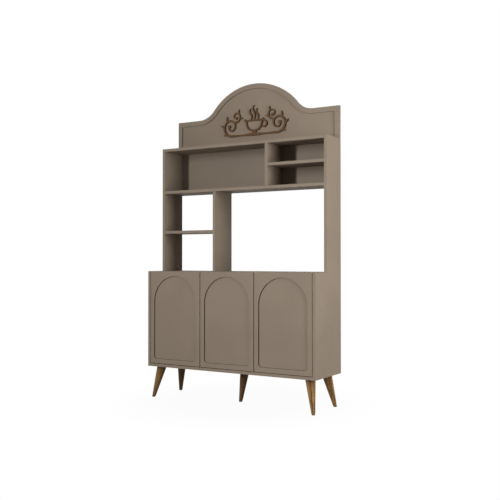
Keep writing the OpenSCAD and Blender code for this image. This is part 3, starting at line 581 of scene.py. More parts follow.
def taupe_laminate():
    """Satin laminate: cloudy tone, fine pressed texture, small rubbed spots and paler worn edges."""
    def make():
        finish = Finish("taupe_laminate", Specular_IOR_Level=0.03)
        tone = colours().taupe
        space = finish.object_space()
        cloud = finish.spread(finish.noise(space, 3.2, 4), 0.35, 0.65)
        colour = finish.mix(cloud, shade(tone, 0.96), shade(tone, 1.04))
        speck = finish.spread(finish.noise(space, 420, 2), 0.3, 0.7)
        colour = finish.mix(speck, colour, finish.mix(1.0, colour, (0.93, 0.93, 0.93), "MULTIPLY"))
        rubbed = finish.spread(finish.noise(space, 14, 5, 0.62), 0.62, 0.78, 0, 0.5)
        colour = finish.mix(rubbed, colour, shade(tone, 1.1))
        worn = finish.edges(0.0008)
        colour = finish.mix(finish.spread(worn, 0, 1, 0, 0.14), colour, shade(tone, 1.3))
        roughness = finish.spread(finish.noise(space, 22, 4), 0.3, 0.7, 0.5, 0.62)
        pressed = finish.bump(finish.noise(space, 900, 2), 0.12, 0.0002)
        return finish.wear(colour, roughness, finish.bump(finish.noise(space, 55, 3), 0.04, 0.0008, pressed))
    return kept("taupe_laminate", make)


def routed_fibre_and_shade():
    """Dark sealed fibre that a router lays bare along a field: fine fibres and tool marks. Its colour is
    drawn darker than bare fibre, as painted shade in the recess walls and the gaps between the doors.
    """
    def make():
        finish = Finish("routed_fibre_and_shade", Specular_IOR_Level=0.1)
        # Painted shade: this near-black tone stands in for the shade in the recess walls and the door gaps
        tone = colours().routed_shade
        space = finish.object_space()
        fibre = finish.noise(space, 700, 4, 0.7)
        colour = finish.mix(finish.spread(fibre, 0.3, 0.7), shade(tone, 0.75), shade(tone, 1.25))
        patch = finish.spread(finish.noise(space, 18, 3), 0.35, 0.7, 0, 0.4)
        colour = finish.mix(patch, colour, shade(tone, 0.8))
        roughness = finish.spread(fibre, 0.3, 0.7, 0.66, 0.82)
        return finish.wear(colour, roughness, finish.bump(fibre, 0.3, 0.0003))
    return kept("routed_fibre_and_shade", make)


def turned_walnut():
    """Oiled wood of the legs: streaks and pores that run along each leg in the leg's own coordinates, and
    each leg's painted shade.
    """
    def make():
        finish = Finish("turned_walnut", Specular_IOR_Level=0.12)
        pale, dark = colours().walnut_pale, colours().walnut_dark
        long = finish.attribute_space("along_leg", (1, 1, 0.06))
        streak = finish.noise(long, 70, 5, 0.6, 0.5)
        colour = finish.mix(finish.spread(streak, 0.34, 0.68), dark, pale)
        band = finish.spread(finish.noise(long, 22, 3, 0.5, 1.2), 0.38, 0.66)
        colour = finish.mix(band, finish.mix(0.55, colour, dark), colour)
        longer = finish.attribute_space("along_leg", (1, 1, 0.03))
        pores = finish.spread(finish.noise(longer, 620, 2), 0.56, 0.72)
        colour = finish.mix(finish.spread(pores, 0, 1, 0, 0.6), colour, shade(dark, 0.55))
        # Painted shade: each leg's wood is darkened by the share that the leg carries, standing in for the
        # shade that falls on it
        leg_shade = finish.add("ShaderNodeAttribute", {"attribute_name": "painted_leg_shade"})
        colour = finish.mix(leg_shade.outputs["Fac"], colour, shade(dark, 0.55))
        roughness = finish.spread(streak, 0.3, 0.7, 0.36, 0.52)
        grain = finish.bump(pores, 0.25, -0.0003)
        return finish.wear(colour, roughness, finish.bump(streak, 0.1, 0.0005, grain))
    return kept("turned_walnut", make)


def stained_fretwork():
    """Dark stained plywood with lengthwise grain and charred sawn edges."""
    def make():
        finish = Finish("stained_fretwork", Specular_IOR_Level=0.12)
        tone, char = colours().fretwork, colours().char
        grain = finish.noise(finish.object_space((0.08, 1, 1)), 190, 5, 0.6, 0.4)
        colour = finish.mix(finish.spread(grain, 0.32, 0.7), shade(tone, 0.62), shade(tone, 1.3))
        space = finish.object_space()
        patch = finish.spread(finish.noise(space, 12, 3), 0.4, 0.7, 0, 0.5)
        colour = finish.mix(patch, colour, shade(tone, 0.75))
        facing = finish.add("ShaderNodeTexCoord", {}).outputs["Normal"]
        split = finish.add("ShaderNodeSeparateXYZ", {}, Vector=facing)
        sawn = finish.spread(split.outputs["Y"], -0.6, -0.95, 1, 0)
        plies = finish.spread(finish.noise(finish.object_space((0.02, 1, 0.02)), 900, 1), 0.4, 0.6)
        colour = finish.mix(sawn, colour, finish.mix(plies, shade(char, 0.7), shade(char, 1.4)))
        roughness = finish.spread(grain, 0.3, 0.7, 0.5, 0.68)
        return finish.wear(colour, roughness, finish.bump(grain, 0.2, 0.0004))
    return kept("stained_fretwork", make)


def turned_beech():
    """Pale dowel wood with short dark flecks."""
    def make():
        finish = Finish("turned_beech", Specular_IOR_Level=0.3)
        tone = colours().beech
        space = finish.object_space()
        fleck = finish.spread(finish.noise(space, 480, 3), 0.45, 0.7)
        colour = finish.mix(fleck, tone, shade(tone, 0.68))
        cloud = finish.spread(finish.noise(space, 40, 3), 0.3, 0.7, 0, 0.4)
        colour = finish.mix(cloud, colour, shade(tone, 0.85))
        roughness = finish.spread(fleck, 0, 1, 0.55, 0.7)
        return finish.wear(colour, roughness, finish.bump(fleck, 0.2, 0.0003))
    return kept("turned_beech", make)


def back_panel(front_is_taupe):
    """Thin panel: raw brown fibreboard behind, and laminate or fibreboard on the side that faces the bays,
    drawn darker as painted shade of the inside of the bays.
    """
    name = "laminated_back" if front_is_taupe else "fibre_back"

    def make():
        finish = Finish(name, Specular_IOR_Level=0.08)
        raw = colours().hardboard
        space = finish.object_space()
        fibre = finish.noise(space, 260, 6, 0.7, 0.6)
        brown = finish.mix(finish.spread(fibre, 0.3, 0.7), shade(raw, 0.72), shade(raw, 1.22))
        stain = finish.spread(finish.noise(space, 5, 4), 0.4, 0.7, 0, 0.35)
        brown = finish.mix(stain, brown, shade(raw, 0.8))
        tone = colours().taupe if front_is_taupe else shade(raw, 1.15)
        cloud = finish.spread(finish.noise(space, 4, 4), 0.3, 0.7)
        # Painted shade: the side that faces the bays is drawn 0.8 to 0.87 times its laminate or fibreboard,
        # for the shade inside the bays
        front = finish.mix(cloud, shade(tone, 0.8), shade(tone, 0.87))
        facing = finish.add("ShaderNodeTexCoord", {}).outputs["Normal"]
        split = finish.add("ShaderNodeSeparateXYZ", {}, Vector=facing)
        behind = finish.spread(split.outputs["Y"], -0.2, 0.2)
        colour = finish.mix(behind, front, brown)
        roughness = finish.spread(behind, 0, 1, 0.5, 0.82)
        rough_bump = finish.bump(fibre, 0.25, 0.0003)
        return finish.wear(colour, roughness, rough_bump)
    return kept(name, make)


def metal(name, tone, rough_low, rough_high, scratch_stretch):
    """Plated metal: faint cloudy oxide, fine scratches and rubbed bright edges."""
    def make():
        finish = Finish(name, Metallic=1.0)
        space = finish.object_space()
        cloud = finish.spread(finish.noise(space, 60, 4), 0.35, 0.7)
        colour = finish.mix(cloud, tone, shade(tone, 0.78))
        scratch = finish.noise(finish.object_space(scratch_stretch), 900, 3, 0.6)
        colour = finish.mix(finish.spread(scratch, 0.55, 0.75, 0, 0.4), colour, shade(tone, 0.6))
        colour = finish.mix(finish.spread(finish.edges(0.0008), 0, 1, 0, 0.5), colour, shade(tone, 1.2))
        roughness = finish.spread(scratch, 0.3, 0.7, rough_low, rough_high)
        return finish.wear(colour, roughness, finish.bump(scratch, 0.08, 0.0002))
    return kept(name, make)


def zinc():
    """Dull cast zinc of the cam locks and screws."""
    return metal("cast_zinc", colours().zinc, 0.38, 0.56, (1, 1, 1))


def steel():
    """Bright plated steel with lengthwise scratches."""
    return metal("plated_steel", colours().steel, 0.2, 0.36, (1, 1, 0.1))


def plastic(name, tone, rough, **shader_values):
    """Moulded plastic: spark-eroded grain and faint dust in it."""
    def make():
        finish = Finish(name, **shader_values)
        space = finish.object_space()
        grain = finish.noise(space, 1500, 2)
        dust = finish.spread(finish.noise(space, 35, 5), 0.5, 0.75, 0, 0.3)
        colour = finish.mix(dust, tone, finish.mix(0.5, tone, (0.5, 0.48, 0.45)))
        colour = finish.mix(finish.spread(grain, 0.3, 0.7, 0, 0.25), colour, shade(tone, 0.7))
        roughness = finish.spread(grain, 0.3, 0.7, rough, rough + 0.14)
        return finish.wear(colour, roughness, finish.bump(grain, 0.2, 0.0002))
    return kept(name, make)


def black_plastic():
    """Hard black plastic of the glides and plungers."""
    return plastic("black_plastic", colours().black_plastic, 0.42)


def grey_plastic():
    """Grey plastic of the latch housings."""
    return plastic("grey_plastic", colours().grey_plastic, 0.4)


def brown_caps():
    """Caps in the tone of the boards on the cam locks that show."""
    return plastic("brown_caps", colours().taupe, 0.45)


def clear_pad():
    """Soft clear rubber of the bumper pads."""
    return plastic("clear_pad", colours().clear_pad, 0.25, Transmission_Weight=0.55, IOR=1.45)


# Boards

def cam_pocket(x, y, z, axis, direction):
    """Pocket of a cam lock, from just outside the board's face inwards along an axis."""
    size = fitting_sizes()
    centre = np.array([x, y, z], dtype=float)
    centre[axis] -= direction * OVERCUT
    return drum_grid(centre, axis, size.cam_radius, direction * (size.cam_depth + OVERCUT))


def hutch_middle():
    """Place of the hutch's middle between its front and its back."""
    low, high = place("hutch_side_left")
    return (low[1] + high[1]) / 2


def end_cam_pockets(node, distance, middle):
    """Four pockets near the ends of a level board, open at its lower face."""
    low, high = place(node)
    reach = fitting_sizes().cam_reach
    return [cam_pocket(x, middle + side * distance, low[2], 2, 1)
            for x in (low[0] + reach, high[0] - reach) for side in (-1, 1)]


def upright_cam_pockets(node, depths):
    """Pockets near the head and the foot of an upright board, open at its left face."""
    low, high = place(node)
    reach = fitting_sizes().cam_reach
    return [cam_pocket(low[0], y, z, 0, 1) for z in (low[2] + reach, high[2] - reach) for y in depths]


def stand_cam_pockets(node, inner_x, direction):
    """Pockets near the foot of a hutch side, open at its inner face."""
    low = place(node)[0]
    size = fitting_sizes()
    return [cam_pocket(inner_x, hutch_middle() + side * size.stand_cam, low[2] + size.cam_reach, 0, direction)
            for side in (-1, 1)]


def rebate(panel):
    """Room for a back panel in the boards round it, open to the back."""
    low, high = place(panel)
    return board_grid(low, high + np.array([0, OVERCUT, 0]), REBATE_EDGE, steps=1)


def screw_sinks():
    """Countersinks of the crest screws in the lower face of the hutch's top board."""
    size = fitting_sizes()
    low, high = place("hutch_top")
    return [drum_grid((x, high[1] - size.screw_behind, low[2] - OVERCUT), 2, size.screw_head, SINK_LENGTH)
            for x in (-size.screw_outer, -size.screw_inner, size.screw_inner, size.screw_outer)]


def make_board(node, cutters=()):
    """Board with rounded edges in the place of its CAD node, with its pockets and rebates cut."""
    low, high = place(node)
    piece = shell("board_" + node, [board_grid(low, high, sizes().board_edge)])
    if cutters:
        carve(piece, list(cutters))
    dress(piece, taupe_laminate(), [node])


# Outlines

def arc(centre, radius, start, end, count):
    """Points of an arc between two angles in degrees, as an array of pairs."""
    angle = np.radians(np.linspace(start, end, count))
    return np.array(centre) + radius * np.stack([np.cos(angle), np.sin(angle)], axis=-1)


def crest_outline(inset):
    """Crest outline from its lower right corner over the arch to its lower left one, moved in by an inset:
    every arc keeps its centre, and its radius changes by the inset."""
    size = sizes()
    low, high = place("crest_panel")
    half = (high[0] - low[0]) / 2 - inset
    height = high[2] - low[2]
    arch_z = height - size.crest_arch
    hollow_z = size.crest_shoulder + size.crest_hollow
    hollow_x = math.sqrt((size.crest_arch + size.crest_hollow) ** 2 - (hollow_z - arch_z) ** 2)
    meet = math.degrees(math.atan2(hollow_z - arch_z, hollow_x))
    shoulder = size.crest_shoulder - inset
    right = np.concatenate([
        [[half, 0], [half, shoulder]],
        arc((hollow_x, hollow_z), size.crest_hollow + inset, 270, 180 + meet, HOLLOW_POINTS),
        arc((0, arch_z), size.crest_arch - inset, meet, 90, HALF_ARCH_POINTS)[1:]])
    left = right[::-1][1:] * np.array([-1, 1])
    return np.concatenate([right, left])


def fillet(radius):
    """Quarter circle from a wall to a face: its distances from the wall and its depths below the face."""
    turn = np.radians(np.linspace(0, 90, FILLET_STEPS + 1))
    return radius - radius * np.sin(turn), radius - radius * np.cos(turn)


def crest_grid():
    """Crest: a section from the field's floor over the rim to the back, carried along the outline."""
    size = sizes()
    low, high = place("crest_panel")
    thick = high[1] - low[1]
    routed_in, routed_down = fillet(size.routed_edge)
    edge_in, edge_down = fillet(size.board_edge)
    stations = [(size.crest_rim + far, size.crest_recess - down) for far, down in zip(routed_in, routed_down)]
    stations += [(size.crest_rim - far, down) for far, down in zip(routed_in[::-1], routed_down[::-1])]
    stations += [(far, down) for far, down in zip(edge_in, edge_down)]
    stations += [(far, thick - down) for far, down in zip(edge_in[::-1], edge_down[::-1])]
    outline = np.stack([crest_outline(inset) for inset, depth in stations])
    depths = np.array([depth for inset, depth in stations])
    x, z = outline[..., 0], outline[..., 1]
    return np.stack([x, low[1] + depths[:, None] + 0 * x, low[2] + z], axis=-1)


def field_outline(width, height, inset):
    """Outline of a door's arched field, moved in by an inset, and the arcs that it is made of: two soft lower
    corners and a half-round arch."""
    size = sizes()
    rim = size.field_rim
    corner = size.field_corner
    radius = width / 2 - rim
    spring = height - rim - radius
    pieces = [
        ((width - rim - corner, rim + corner), corner - inset, 270, 360, FIELD_CORNER_POINTS),
        ((width / 2, spring), radius - inset, 0, 180, FIELD_ARCH_POINTS),
        ((rim + corner, rim + corner), corner - inset, 180, 270, FIELD_CORNER_POINTS),
    ]
    return np.concatenate([arc(*piece) for piece in pieces]), pieces


def frame_outline(width, height):
    """Points on a door's rectangle, each on the ray from its arc's centre through the field's outline."""
    pieces = field_outline(width, height, 0)[1]
    points = []
    for centre, radius, start, end, count in pieces:
        angle = np.radians(np.linspace(start, end, count))
        step = np.stack([np.cos(angle), np.sin(angle)], axis=-1)
        room = np.where(step > 0, np.array([width, height]) - centre, np.array(centre))
        reach = (room / np.maximum(np.abs(step), NEARLY_ZERO)).min(axis=-1)
        points.append(np.array(centre) + reach[:, None] * step)
    points = np.concatenate(points)
    for corner in ((0, 0), (width, 0), (0, height), (width, height)):
        nearest = np.argmin(np.linalg.norm(points - corner, axis=-1))
        points[nearest] = corner
    return points


def door_grid(node):
    """Door: rings that run from the arched field's floor over the rim and the edges to the back."""
    size = sizes()
    low, high = place(node)
    width, thick, height = high - low
    rectangle = frame_outline(width, height)
    routed_in, routed_down = fillet(size.routed_edge)
    edge_in, edge_down = fillet(size.door_edge)
    rings = []
    for far, down in zip(routed_in, routed_down):
        rings.append((field_outline(width, height, far)[0], size.field_recess - down))
    for far, down in zip(routed_in[::-1], routed_down[::-1]):
        rings.append((field_outline(width, height, -far)[0], down))
    for far, down in zip(edge_in, edge_down):
        rings.append((np.clip(rectangle, far, [width - far, height - far]), down))
    for far, down in zip(edge_in[::-1], edge_down[::-1]):
        rings.append((np.clip(rectangle, far, [width - far, height - far]), thick - down))
    outline = np.stack([ring for ring, depth in rings])
    depths = np.array([depth for ring, depth in rings])
    x, z = outline[..., 0], outline[..., 1]
    return np.stack([low[0] + x, low[1] + depths[:, None] + 0 * x, low[2] + z], axis=-1)


def paint_door_gap_shade(door, node):
    """Gives the front edges at a door's sides and foot the second material, the dark routed finish: painted
    shade that darkens the gaps between the doors.
    """
    low, high = place(node)
    edge = sizes().door_edge
    count = len(door.data.polygons)
    centre = np.empty(3 * count)
    finish_number = np.empty(count, dtype=np.int32)
    door.data.polygons.foreach_get("center", centre)
    door.data.polygons.foreach_get("material_index", finish_number)
    x, y, z = centre.reshape(-1, 3).T
    rounded = (y > low[1] + MERGE_DISTANCE) & (y < low[1] + edge)
    beside = (x < low[0] + edge) | (x > high[0] - edge) | (z < low[2] + edge)
    finish_number[rounded & beside & (z < high[2] - edge)] = 1
    door.data.polygons.foreach_set("material_index", finish_number)


def cup_bores(node, side):
    """Bores of the hinge cups in a door's back. Side is 1 where the hinges are on the left."""
    size = sizes()
    low, high = place(node)
    hinge_x = low[0] if side > 0 else high[0]
    x = hinge_x + side * (size.cup_edge + size.cup_radius)
    return [drum_grid((x, high[1] + OVERCUT, z), 1, size.cup_radius, -(size.cup_depth + OVERCUT), CUP_COLUMNS)
            for z in (low[2] + size.hinge_end, high[2] - size.hinge_end)]


# Legs

def leg_grid(node, lean):
    """Cone whose axis leans from foot to head: straight lines on it are cut where they meet the levels of the
    foot and of the bottom board, so both ends are level. Returns the points and their leg coordinates."""
    size = sizes()
    low, high = place(node)
    bottom, top = low[2], high[2]
    foot = leg_foot(node)
    axis = np.array([lean[0], lean[1], 0.0]) * size.leg_lean + np.array([0, 0, top])
    length = np.linalg.norm(axis)
    axis /= length
    across = np.cross(axis, [0, 0, 1])
    across /= np.linalg.norm(across)
    beside = np.cross(axis, across)
    angle = np.linspace(0, 2 * math.pi, LEG_COLUMNS, endpoint=False)
    out = np.cos(angle)[:, None] * across + np.sin(angle)[:, None] * beside
    swell = (size.leg_top - size.leg_tip) / length
    rise = axis[2] + swell * out[:, 2]
    start = (bottom - size.leg_tip * out[:, 2]) / rise
    end = (top - size.leg_tip * out[:, 2]) / rise
    share = np.concatenate([FOOT_EASE[:, 0], LEG_ROWS, [1]])
    ease = np.concatenate([FOOT_EASE[:, 1], np.zeros(len(LEG_ROWS) + 1)])
    along = start + share[:, None] * (end - start)
    radius = size.leg_tip + along * swell - ease[:, None]
    local = np.stack([radius * np.cos(angle), radius * np.sin(angle), along], axis=-1)
    points = foot + along[..., None] * axis + radius[..., None] * out
    return points, local


def leg_foot(node):
    """Centre of a leg's foot on the floor."""
    size = sizes()
    low, high = cad_bounds
    if node == "leg_middle":
        return np.array([0, low[1] + size.middle_foot, 0])
    right, front = CORNER_LEGS[node]
    x = low[0] + size.foot_inset if right > 0 else high[0] - size.foot_inset
    y = low[1] + size.foot_inset if front > 0 else high[1] - size.foot_inset
    return np.array([x, y, 0])


def make_leg(node, lean, number):
    """Turned leg that carries its own lengthwise coordinates, shifted so that no two legs have the same
    grain, and its painted shade: how much darker its wood is drawn where shade falls on it."""
    points, local = leg_grid(node, np.array(lean) / np.linalg.norm(lean))
    piece = shell("turned_" + node, [points])
    mesh = piece.data
    where = np.empty(len(mesh.vertices) * 3, dtype=np.float32)
    mesh.vertices.foreach_get("co", where)
    where = where.reshape(-1, 3)
    flat, flat_local = points.reshape(-1, 3), local.reshape(-1, 3)
    nearest = np.argmin(((where[:, None] - flat[None]) ** 2).sum(axis=-1), axis=1)
    carried = mesh.attributes.new("along_leg", "FLOAT_VECTOR", "POINT")
    shifted = flat_local[nearest] + number * GRAIN_SHIFT
    carried.data.foreach_set("vector", shifted.astype(np.float32).ravel())
    # Painted shade: every point of the leg carries how much darker its wood is drawn
    tone = mesh.attributes.new("painted_leg_shade", "FLOAT", "POINT")
    tone.data.foreach_set("value", np.full(len(mesh.vertices), PAINTED_LEG_SHADES[node], dtype=np.float32))
    dress(piece, turned_walnut(), [node])


# Ornament

def strip_grid(one_edge, other_edge, thick, edge):
    """Sawn strip between two edges, given as pairs across and up: a flat section with softened front corners
    is carried along them. The front lies at -thick and the back at 0."""
    across = other_edge - one_edge
    width = np.linalg.norm(across, axis=-1, keepdims=True)
    across = across / np.maximum(width, NEARLY_ZERO)
    soft = np.minimum(edge, width / 2)
    turn = np.radians(np.linspace(0, 90, FILLET_STEPS + 1))
    section = [(one_edge, 0 * soft[:, 0])]
    for start, inward, angles in ((one_edge, across, turn), (other_edge, -across, turn[::-1])):
        for angle in angles:
            spot = start + inward * soft * (1 - math.cos(angle))
            section.append((spot, -thick + soft[:, 0] * (1 - math.sin(angle))))
    section.append((other_edge, 0 * soft[:, 0]))
    spots = np.stack([spot for spot, depth in section], axis=1)
    depths = np.stack([depth for spot, depth in section], axis=1)
    return np.stack([spots[..., 0], depths, spots[..., 1]], axis=-1)


def ribbon_edges(path, widths):
    """The two edges of a ribbon, square to its path at each point."""
    step = np.gradient(path, axis=0)
    step /= np.linalg.norm(step, axis=-1, keepdims=True)
    side = np.stack([-step[:, 1], step[:, 0]], axis=-1) * np.asarray(widths)[:, None] / 2
    return path + side, path - side


def bowl_line(inset):
    """Cup outline: a half ellipse with square shoulders, moved in by an inset."""
    size = ornament_sizes()
    angle = np.radians(np.linspace(180, 360, CUP_POINTS))
    x = (size.cup_half - inset) * np.sign(np.cos(angle)) * np.abs(np.cos(angle)) ** BOWL_SIDE_POWER
    z = size.cup_rim - (size.cup_tall - inset) * np.abs(np.sin(angle)) ** BOWL_FOOT_POWER
    return np.stack([x, z], axis=-1)


def leaf_edges(stalk, heading, long, wide):
    """Edges of a leaf between two equal arcs that starts at a stalk and grows along a heading in degrees."""
    radius = (long * long + wide * wide) / (4 * wide)
    x = np.linspace(0, long, LEAF_POINTS)
    half = np.maximum(np.sqrt(radius ** 2 - (x - long / 2) ** 2) - (radius - wide / 2), 0)
    turn = math.radians(heading)
    forward = np.array([math.cos(turn), math.sin(turn)])
    left = np.array([-forward[1], forward[0]])
    middle = np.array(stalk) + x[:, None] * forward
    return middle + half[:, None] * left, middle - half[:, None] * left


def disc_edges(centre, radius):
    """Edges of a round disc: its upper and its lower half circle."""
    upper = arc(centre, radius, 180, 0, DISC_POINTS)
    lower = arc(centre, radius, 180, 360, DISC_POINTS)
    return upper, lower


def spiral(centre, start_radius, end_radius, start_angle, turn):
    """Spiral whose radius changes evenly with its angle, with the angle at each point."""
    share = np.linspace(0, 1, SPIRAL_POINTS)
    angle = start_angle + turn * share
    radius = start_radius + (end_radius - start_radius) * share
    steps = np.radians(angle)
    return np.array(centre) + radius[:, None] * np.stack([np.cos(steps), np.sin(steps)], axis=-1), angle


def spiral_leaves(spiral_line, angles, leaves, lean):
    """Edges of the leaves of a spiral, each at its part of the way and leaning off the spiral's radius."""
    edges = []
    for part, long in leaves:
        spot = round(part / SPIRAL_PARTS * (SPIRAL_POINTS - 1))
        edges.append(leaf_edges(spiral_line[spot], angles[spot] + lean, long * MM, long / LEAF_SLENDER * MM))
    return edges


def side_scroll_edges():
    """Edges of the right volute, its counter curl, their eyes and their leaves. The curl touches the volute
    where the line from centre to centre leans by its angle."""
    size = ornament_sizes()
    centre = (size.volute_out, -size.volute_drop)
    volute, volute_angle = spiral(centre, size.volute_radius, size.volute_end, VOLUTE_START, VOLUTE_TURN)
    start = np.array([[size.saucer_half / 2, -size.saucer_drop]])
    stem = start + (volute[:1] - start) * np.linspace(0, 1, STEM_POINTS + 1)[:-1, None]
    path = np.concatenate([stem, volute])
    stem_widths = np.linspace(STEM_WIDTH, VOLUTE_WIDTHS[0], STEM_POINTS)
    widths = np.concatenate([stem_widths, np.linspace(*VOLUTE_WIDTHS, SPIRAL_POINTS)]) * MM
    back = (CURL_LEAN - VOLUTE_START) / VOLUTE_TURN
    reach = size.volute_radius + (size.volute_end - size.volute_radius) * back + size.curl_radius
    turn = math.radians(CURL_LEAN)
    curl_centre = np.array(centre) + reach * np.array([math.cos(turn), math.sin(turn)])
    curl, curl_angle = spiral(curl_centre, size.curl_radius, size.curl_end, CURL_LEAN - 180, CURL_TURN)
    edges = [
        ribbon_edges(path, widths),
        disc_edges(volute[-1], VOLUTE_EYE * MM),
        ribbon_edges(curl, np.linspace(*CURL_WIDTHS, SPIRAL_POINTS) * MM),
        disc_edges(curl[-1], CURL_EYE * MM),
    ]
    edges += spiral_leaves(volute, volute_angle, VOLUTE_LEAVES, LEAF_ANGLE)
    edges += spiral_leaves(curl, curl_angle, CURL_LEAVES, -LEAF_ANGLE)
    return edges


def cup_edges():
    """Edges of the cup, its rim, handle and foot, the saucer, and the steam, which sways as a sine and is
    widest half way up."""
    size = ornament_sizes()
    rim_z = size.cup_rim - size.cup_line / 2
    rim_half = size.cup_half + size.cup_line / 2
    rim = np.stack([np.linspace(-rim_half, rim_half, RIM_POINTS), np.full(RIM_POINTS, rim_z)], axis=-1)
    foot_top = size.cup_rim - size.cup_tall + size.cup_line / 2
    foot = np.stack([np.zeros(FOOT_POINTS), np.linspace(-size.saucer_drop, foot_top, FOOT_POINTS)], axis=-1)
    handle_spot = (size.cup_half + HANDLE_PLACE[0] * MM, HANDLE_PLACE[1] * MM)
    handle_outer, handle_inner = [
        arc(handle_spot, radius, -HANDLE_SWEEP, HANDLE_SWEEP, CUP_POINTS)
        for radius in (size.handle_radius, size.handle_radius - size.cup_line)]
    edges = [
        (bowl_line(0), bowl_line(size.cup_line)),
        ribbon_edges(rim, np.full(RIM_POINTS, size.cup_line)),
        disc_edges((-rim_half, size.cup_rim), size.cup_line / 2),
        disc_edges((rim_half, size.cup_rim), size.cup_line / 2),
        (handle_outer, handle_inner),
        leaf_edges((-size.saucer_half, -size.saucer_drop), 0, 2 * size.saucer_half, size.saucer_thick),
        ribbon_edges(foot, np.full(FOOT_POINTS, 2 * size.foot_half)),
    ]
    share = np.linspace(0, 1, STEAM_POINTS)
    for side, tall in STEAM:
        sway = side * size.steam_gap + STEAM_SWAY * MM * np.sin(2 * math.pi * share)
        path = np.stack([sway, size.cup_rim + tall * MM * share], axis=-1)
        edges.append(ribbon_edges(path, (STEAM_WIDTH + STEAM_SWELL * np.sin(math.pi * share)) * MM))
    return edges


def ornament_grids():
    """All strips of the ornament. Each strip is a little thinner than the last, so no two faces coincide."""
    size = ornament_sizes()
    back = place("crest_ornament")[1][1]
    middle = np.array([0, back, place("crest_panel")[0][2] + size.height])
    flip = np.array([-1.0, 1.0])
    scroll = side_scroll_edges()
    edges = cup_edges() + scroll + [(one * flip, other * flip) for one, other in scroll]
    thickness = size.thickness - STRIP_STEP * np.arange(len(edges))
    return [strip_grid(one, other, thick, size.edge) + middle
            for (one, other), thick in zip(edges, thickness)]


# Stage

def make_camera():
    """Camera where the photograph was taken: a little above the worktop, well to the right."""
    data = bpy.data.cameras.new("camera")
    data.lens = CAMERA_LENS
    data.sensor_width = CAMERA_SENSOR
    camera = bpy.data.objects.new("camera", data)
    camera.location = CAMERA_PLACE
    camera.rotation_euler = [math.radians(angle) for angle in CAMERA_TURN]
    bpy.context.collection.objects.link(camera)
    bpy.context.scene.camera = camera


def make_lamp(name, power, spot, target, width, height, in_gloss):
    """Upright flat lamp at a spot that faces a target. It can be left out of what gloss reflects."""
    data = bpy.data.lights.new(name, "AREA")
    data.shape = "RECTANGLE"
    data.size = width
    data.size_y = height
    data.energy = power
    lamp = bpy.data.objects.new(name, data)
    lamp.location = spot
    lamp.visible_glossy = in_gloss
    away = np.array(spot) - np.array(target)
    lamp.rotation_euler = (
        math.atan2(math.hypot(away[0], away[1]), away[2]), 0, math.atan2(away[0], -away[1]))
    bpy.context.collection.objects.link(lamp)


def make_floor(studio):
    """Pale floor: a wide flat sheet that keeps the cabinet's shadow under a share of plain white."""
    corners = FLOOR_HALF * np.array([[-1, -1, 0], [1, -1, 0], [1, 1, 0], [-1, 1, 0]])
    mesh = bpy.data.meshes.new("floor")
    mesh.from_pydata(corners, [], [[0, 1, 2, 3]])
    floor = bpy.data.objects.new("floor", mesh)
    bpy.context.collection.objects.link(floor)
    finish = Finish("floor_paint", Base_Color=(FLOOR_TONE, FLOOR_TONE, FLOOR_TONE), Roughness=0.9)
    glow = finish.add("ShaderNodeEmission", {}, Color=(1, 1, 1), Strength=1)
    distance = finish.add("ShaderNodeVectorMath", {"operation": "LENGTH"})
    finish.put(distance.inputs[0], finish.object_space())
    share = finish.spread(distance.outputs["Value"], *FLOOR_WHITE, 1 - studio.shadow, 1)
    seen = finish.white_to_lens(finish.shader.outputs[0], glow.outputs[0], share)
    finish.put(finish.tree.nodes["Material Output"].inputs["Surface"], seen)
    mesh.materials.append(finish.material)


def make_sky(studio):
    """White surroundings whose light swells towards a wide window at the front right."""
    world = bpy.data.worlds.new("sky")
    sky = Recipe(world)
    light = sky.tree.nodes["Background"]
    towards = sky.add("ShaderNodeVectorMath", {"operation": "DOT_PRODUCT"})
    sky.put(towards.inputs[0], sky.add("ShaderNodeTexCoord", {}).outputs["Generated"])
    sky.put(towards.inputs[1], WINDOW_DIRECTION)
    strength = sky.spread(towards.outputs["Value"], WINDOW_EDGE, 1, studio.sky, studio.sky + studio.window)
    sky.put(light.inputs["Color"], (1, 1, 1))
    sky.put(light.inputs["Strength"], strength)
    glow = sky.add("ShaderNodeBackground", {}, Color=(1, 1, 1), Strength=1)
    seen = sky.white_to_lens(light.outputs[0], glow.outputs[0], 1)
    sky.put(sky.tree.nodes["World Output"].inputs["Surface"], seen)
    bpy.context.scene.world = world


class CABINET_OT_stage(bpy.types.Operator):
    """Sets up the camera, the lamps, the floor and the surroundings"""

    bl_idname = "cabinet.stage"
    bl_label = "Stage"

    def execute(self, context):
        studio = context.scene.cabinet_studio
        context.scene.view_settings.view_transform = "Standard"
        make_camera()
        powers = (studio.key_power, studio.back_power, studio.side_power)
        for name, power in zip(LAMPS, powers):
            make_lamp(name, power, *LAMPS[name])
        make_floor(studio)
        make_sky(studio)
        return {"FINISHED"}


class CABINET_OT_base_boards(bpy.types.Operator):
    """Builds the base's sides, bottom, worktop, partition and shelves"""

    bl_idname = "cabinet.base_boards"
    bl_label = "Base boards"

    def execute(self, context):
        size = fitting_sizes()
        back = [rebate("base_back")]
        make_board("base_side_left", back)
        make_board("base_side_right", back)
        make_board("base_bottom", back + end_cam_pockets("base_bottom", size.base_cam, 0))
        make_board("base_top", back + end_cam_pockets("base_top", size.base_cam, 0))
        depths = (-size.partition_front_cam, size.partition_back_cam)
        make_board("base_partition", upright_cam_pockets("base_partition", depths))
        make_board("base_shelf_left")
        make_board("base_shelf_right")
        return {"FINISHED"}


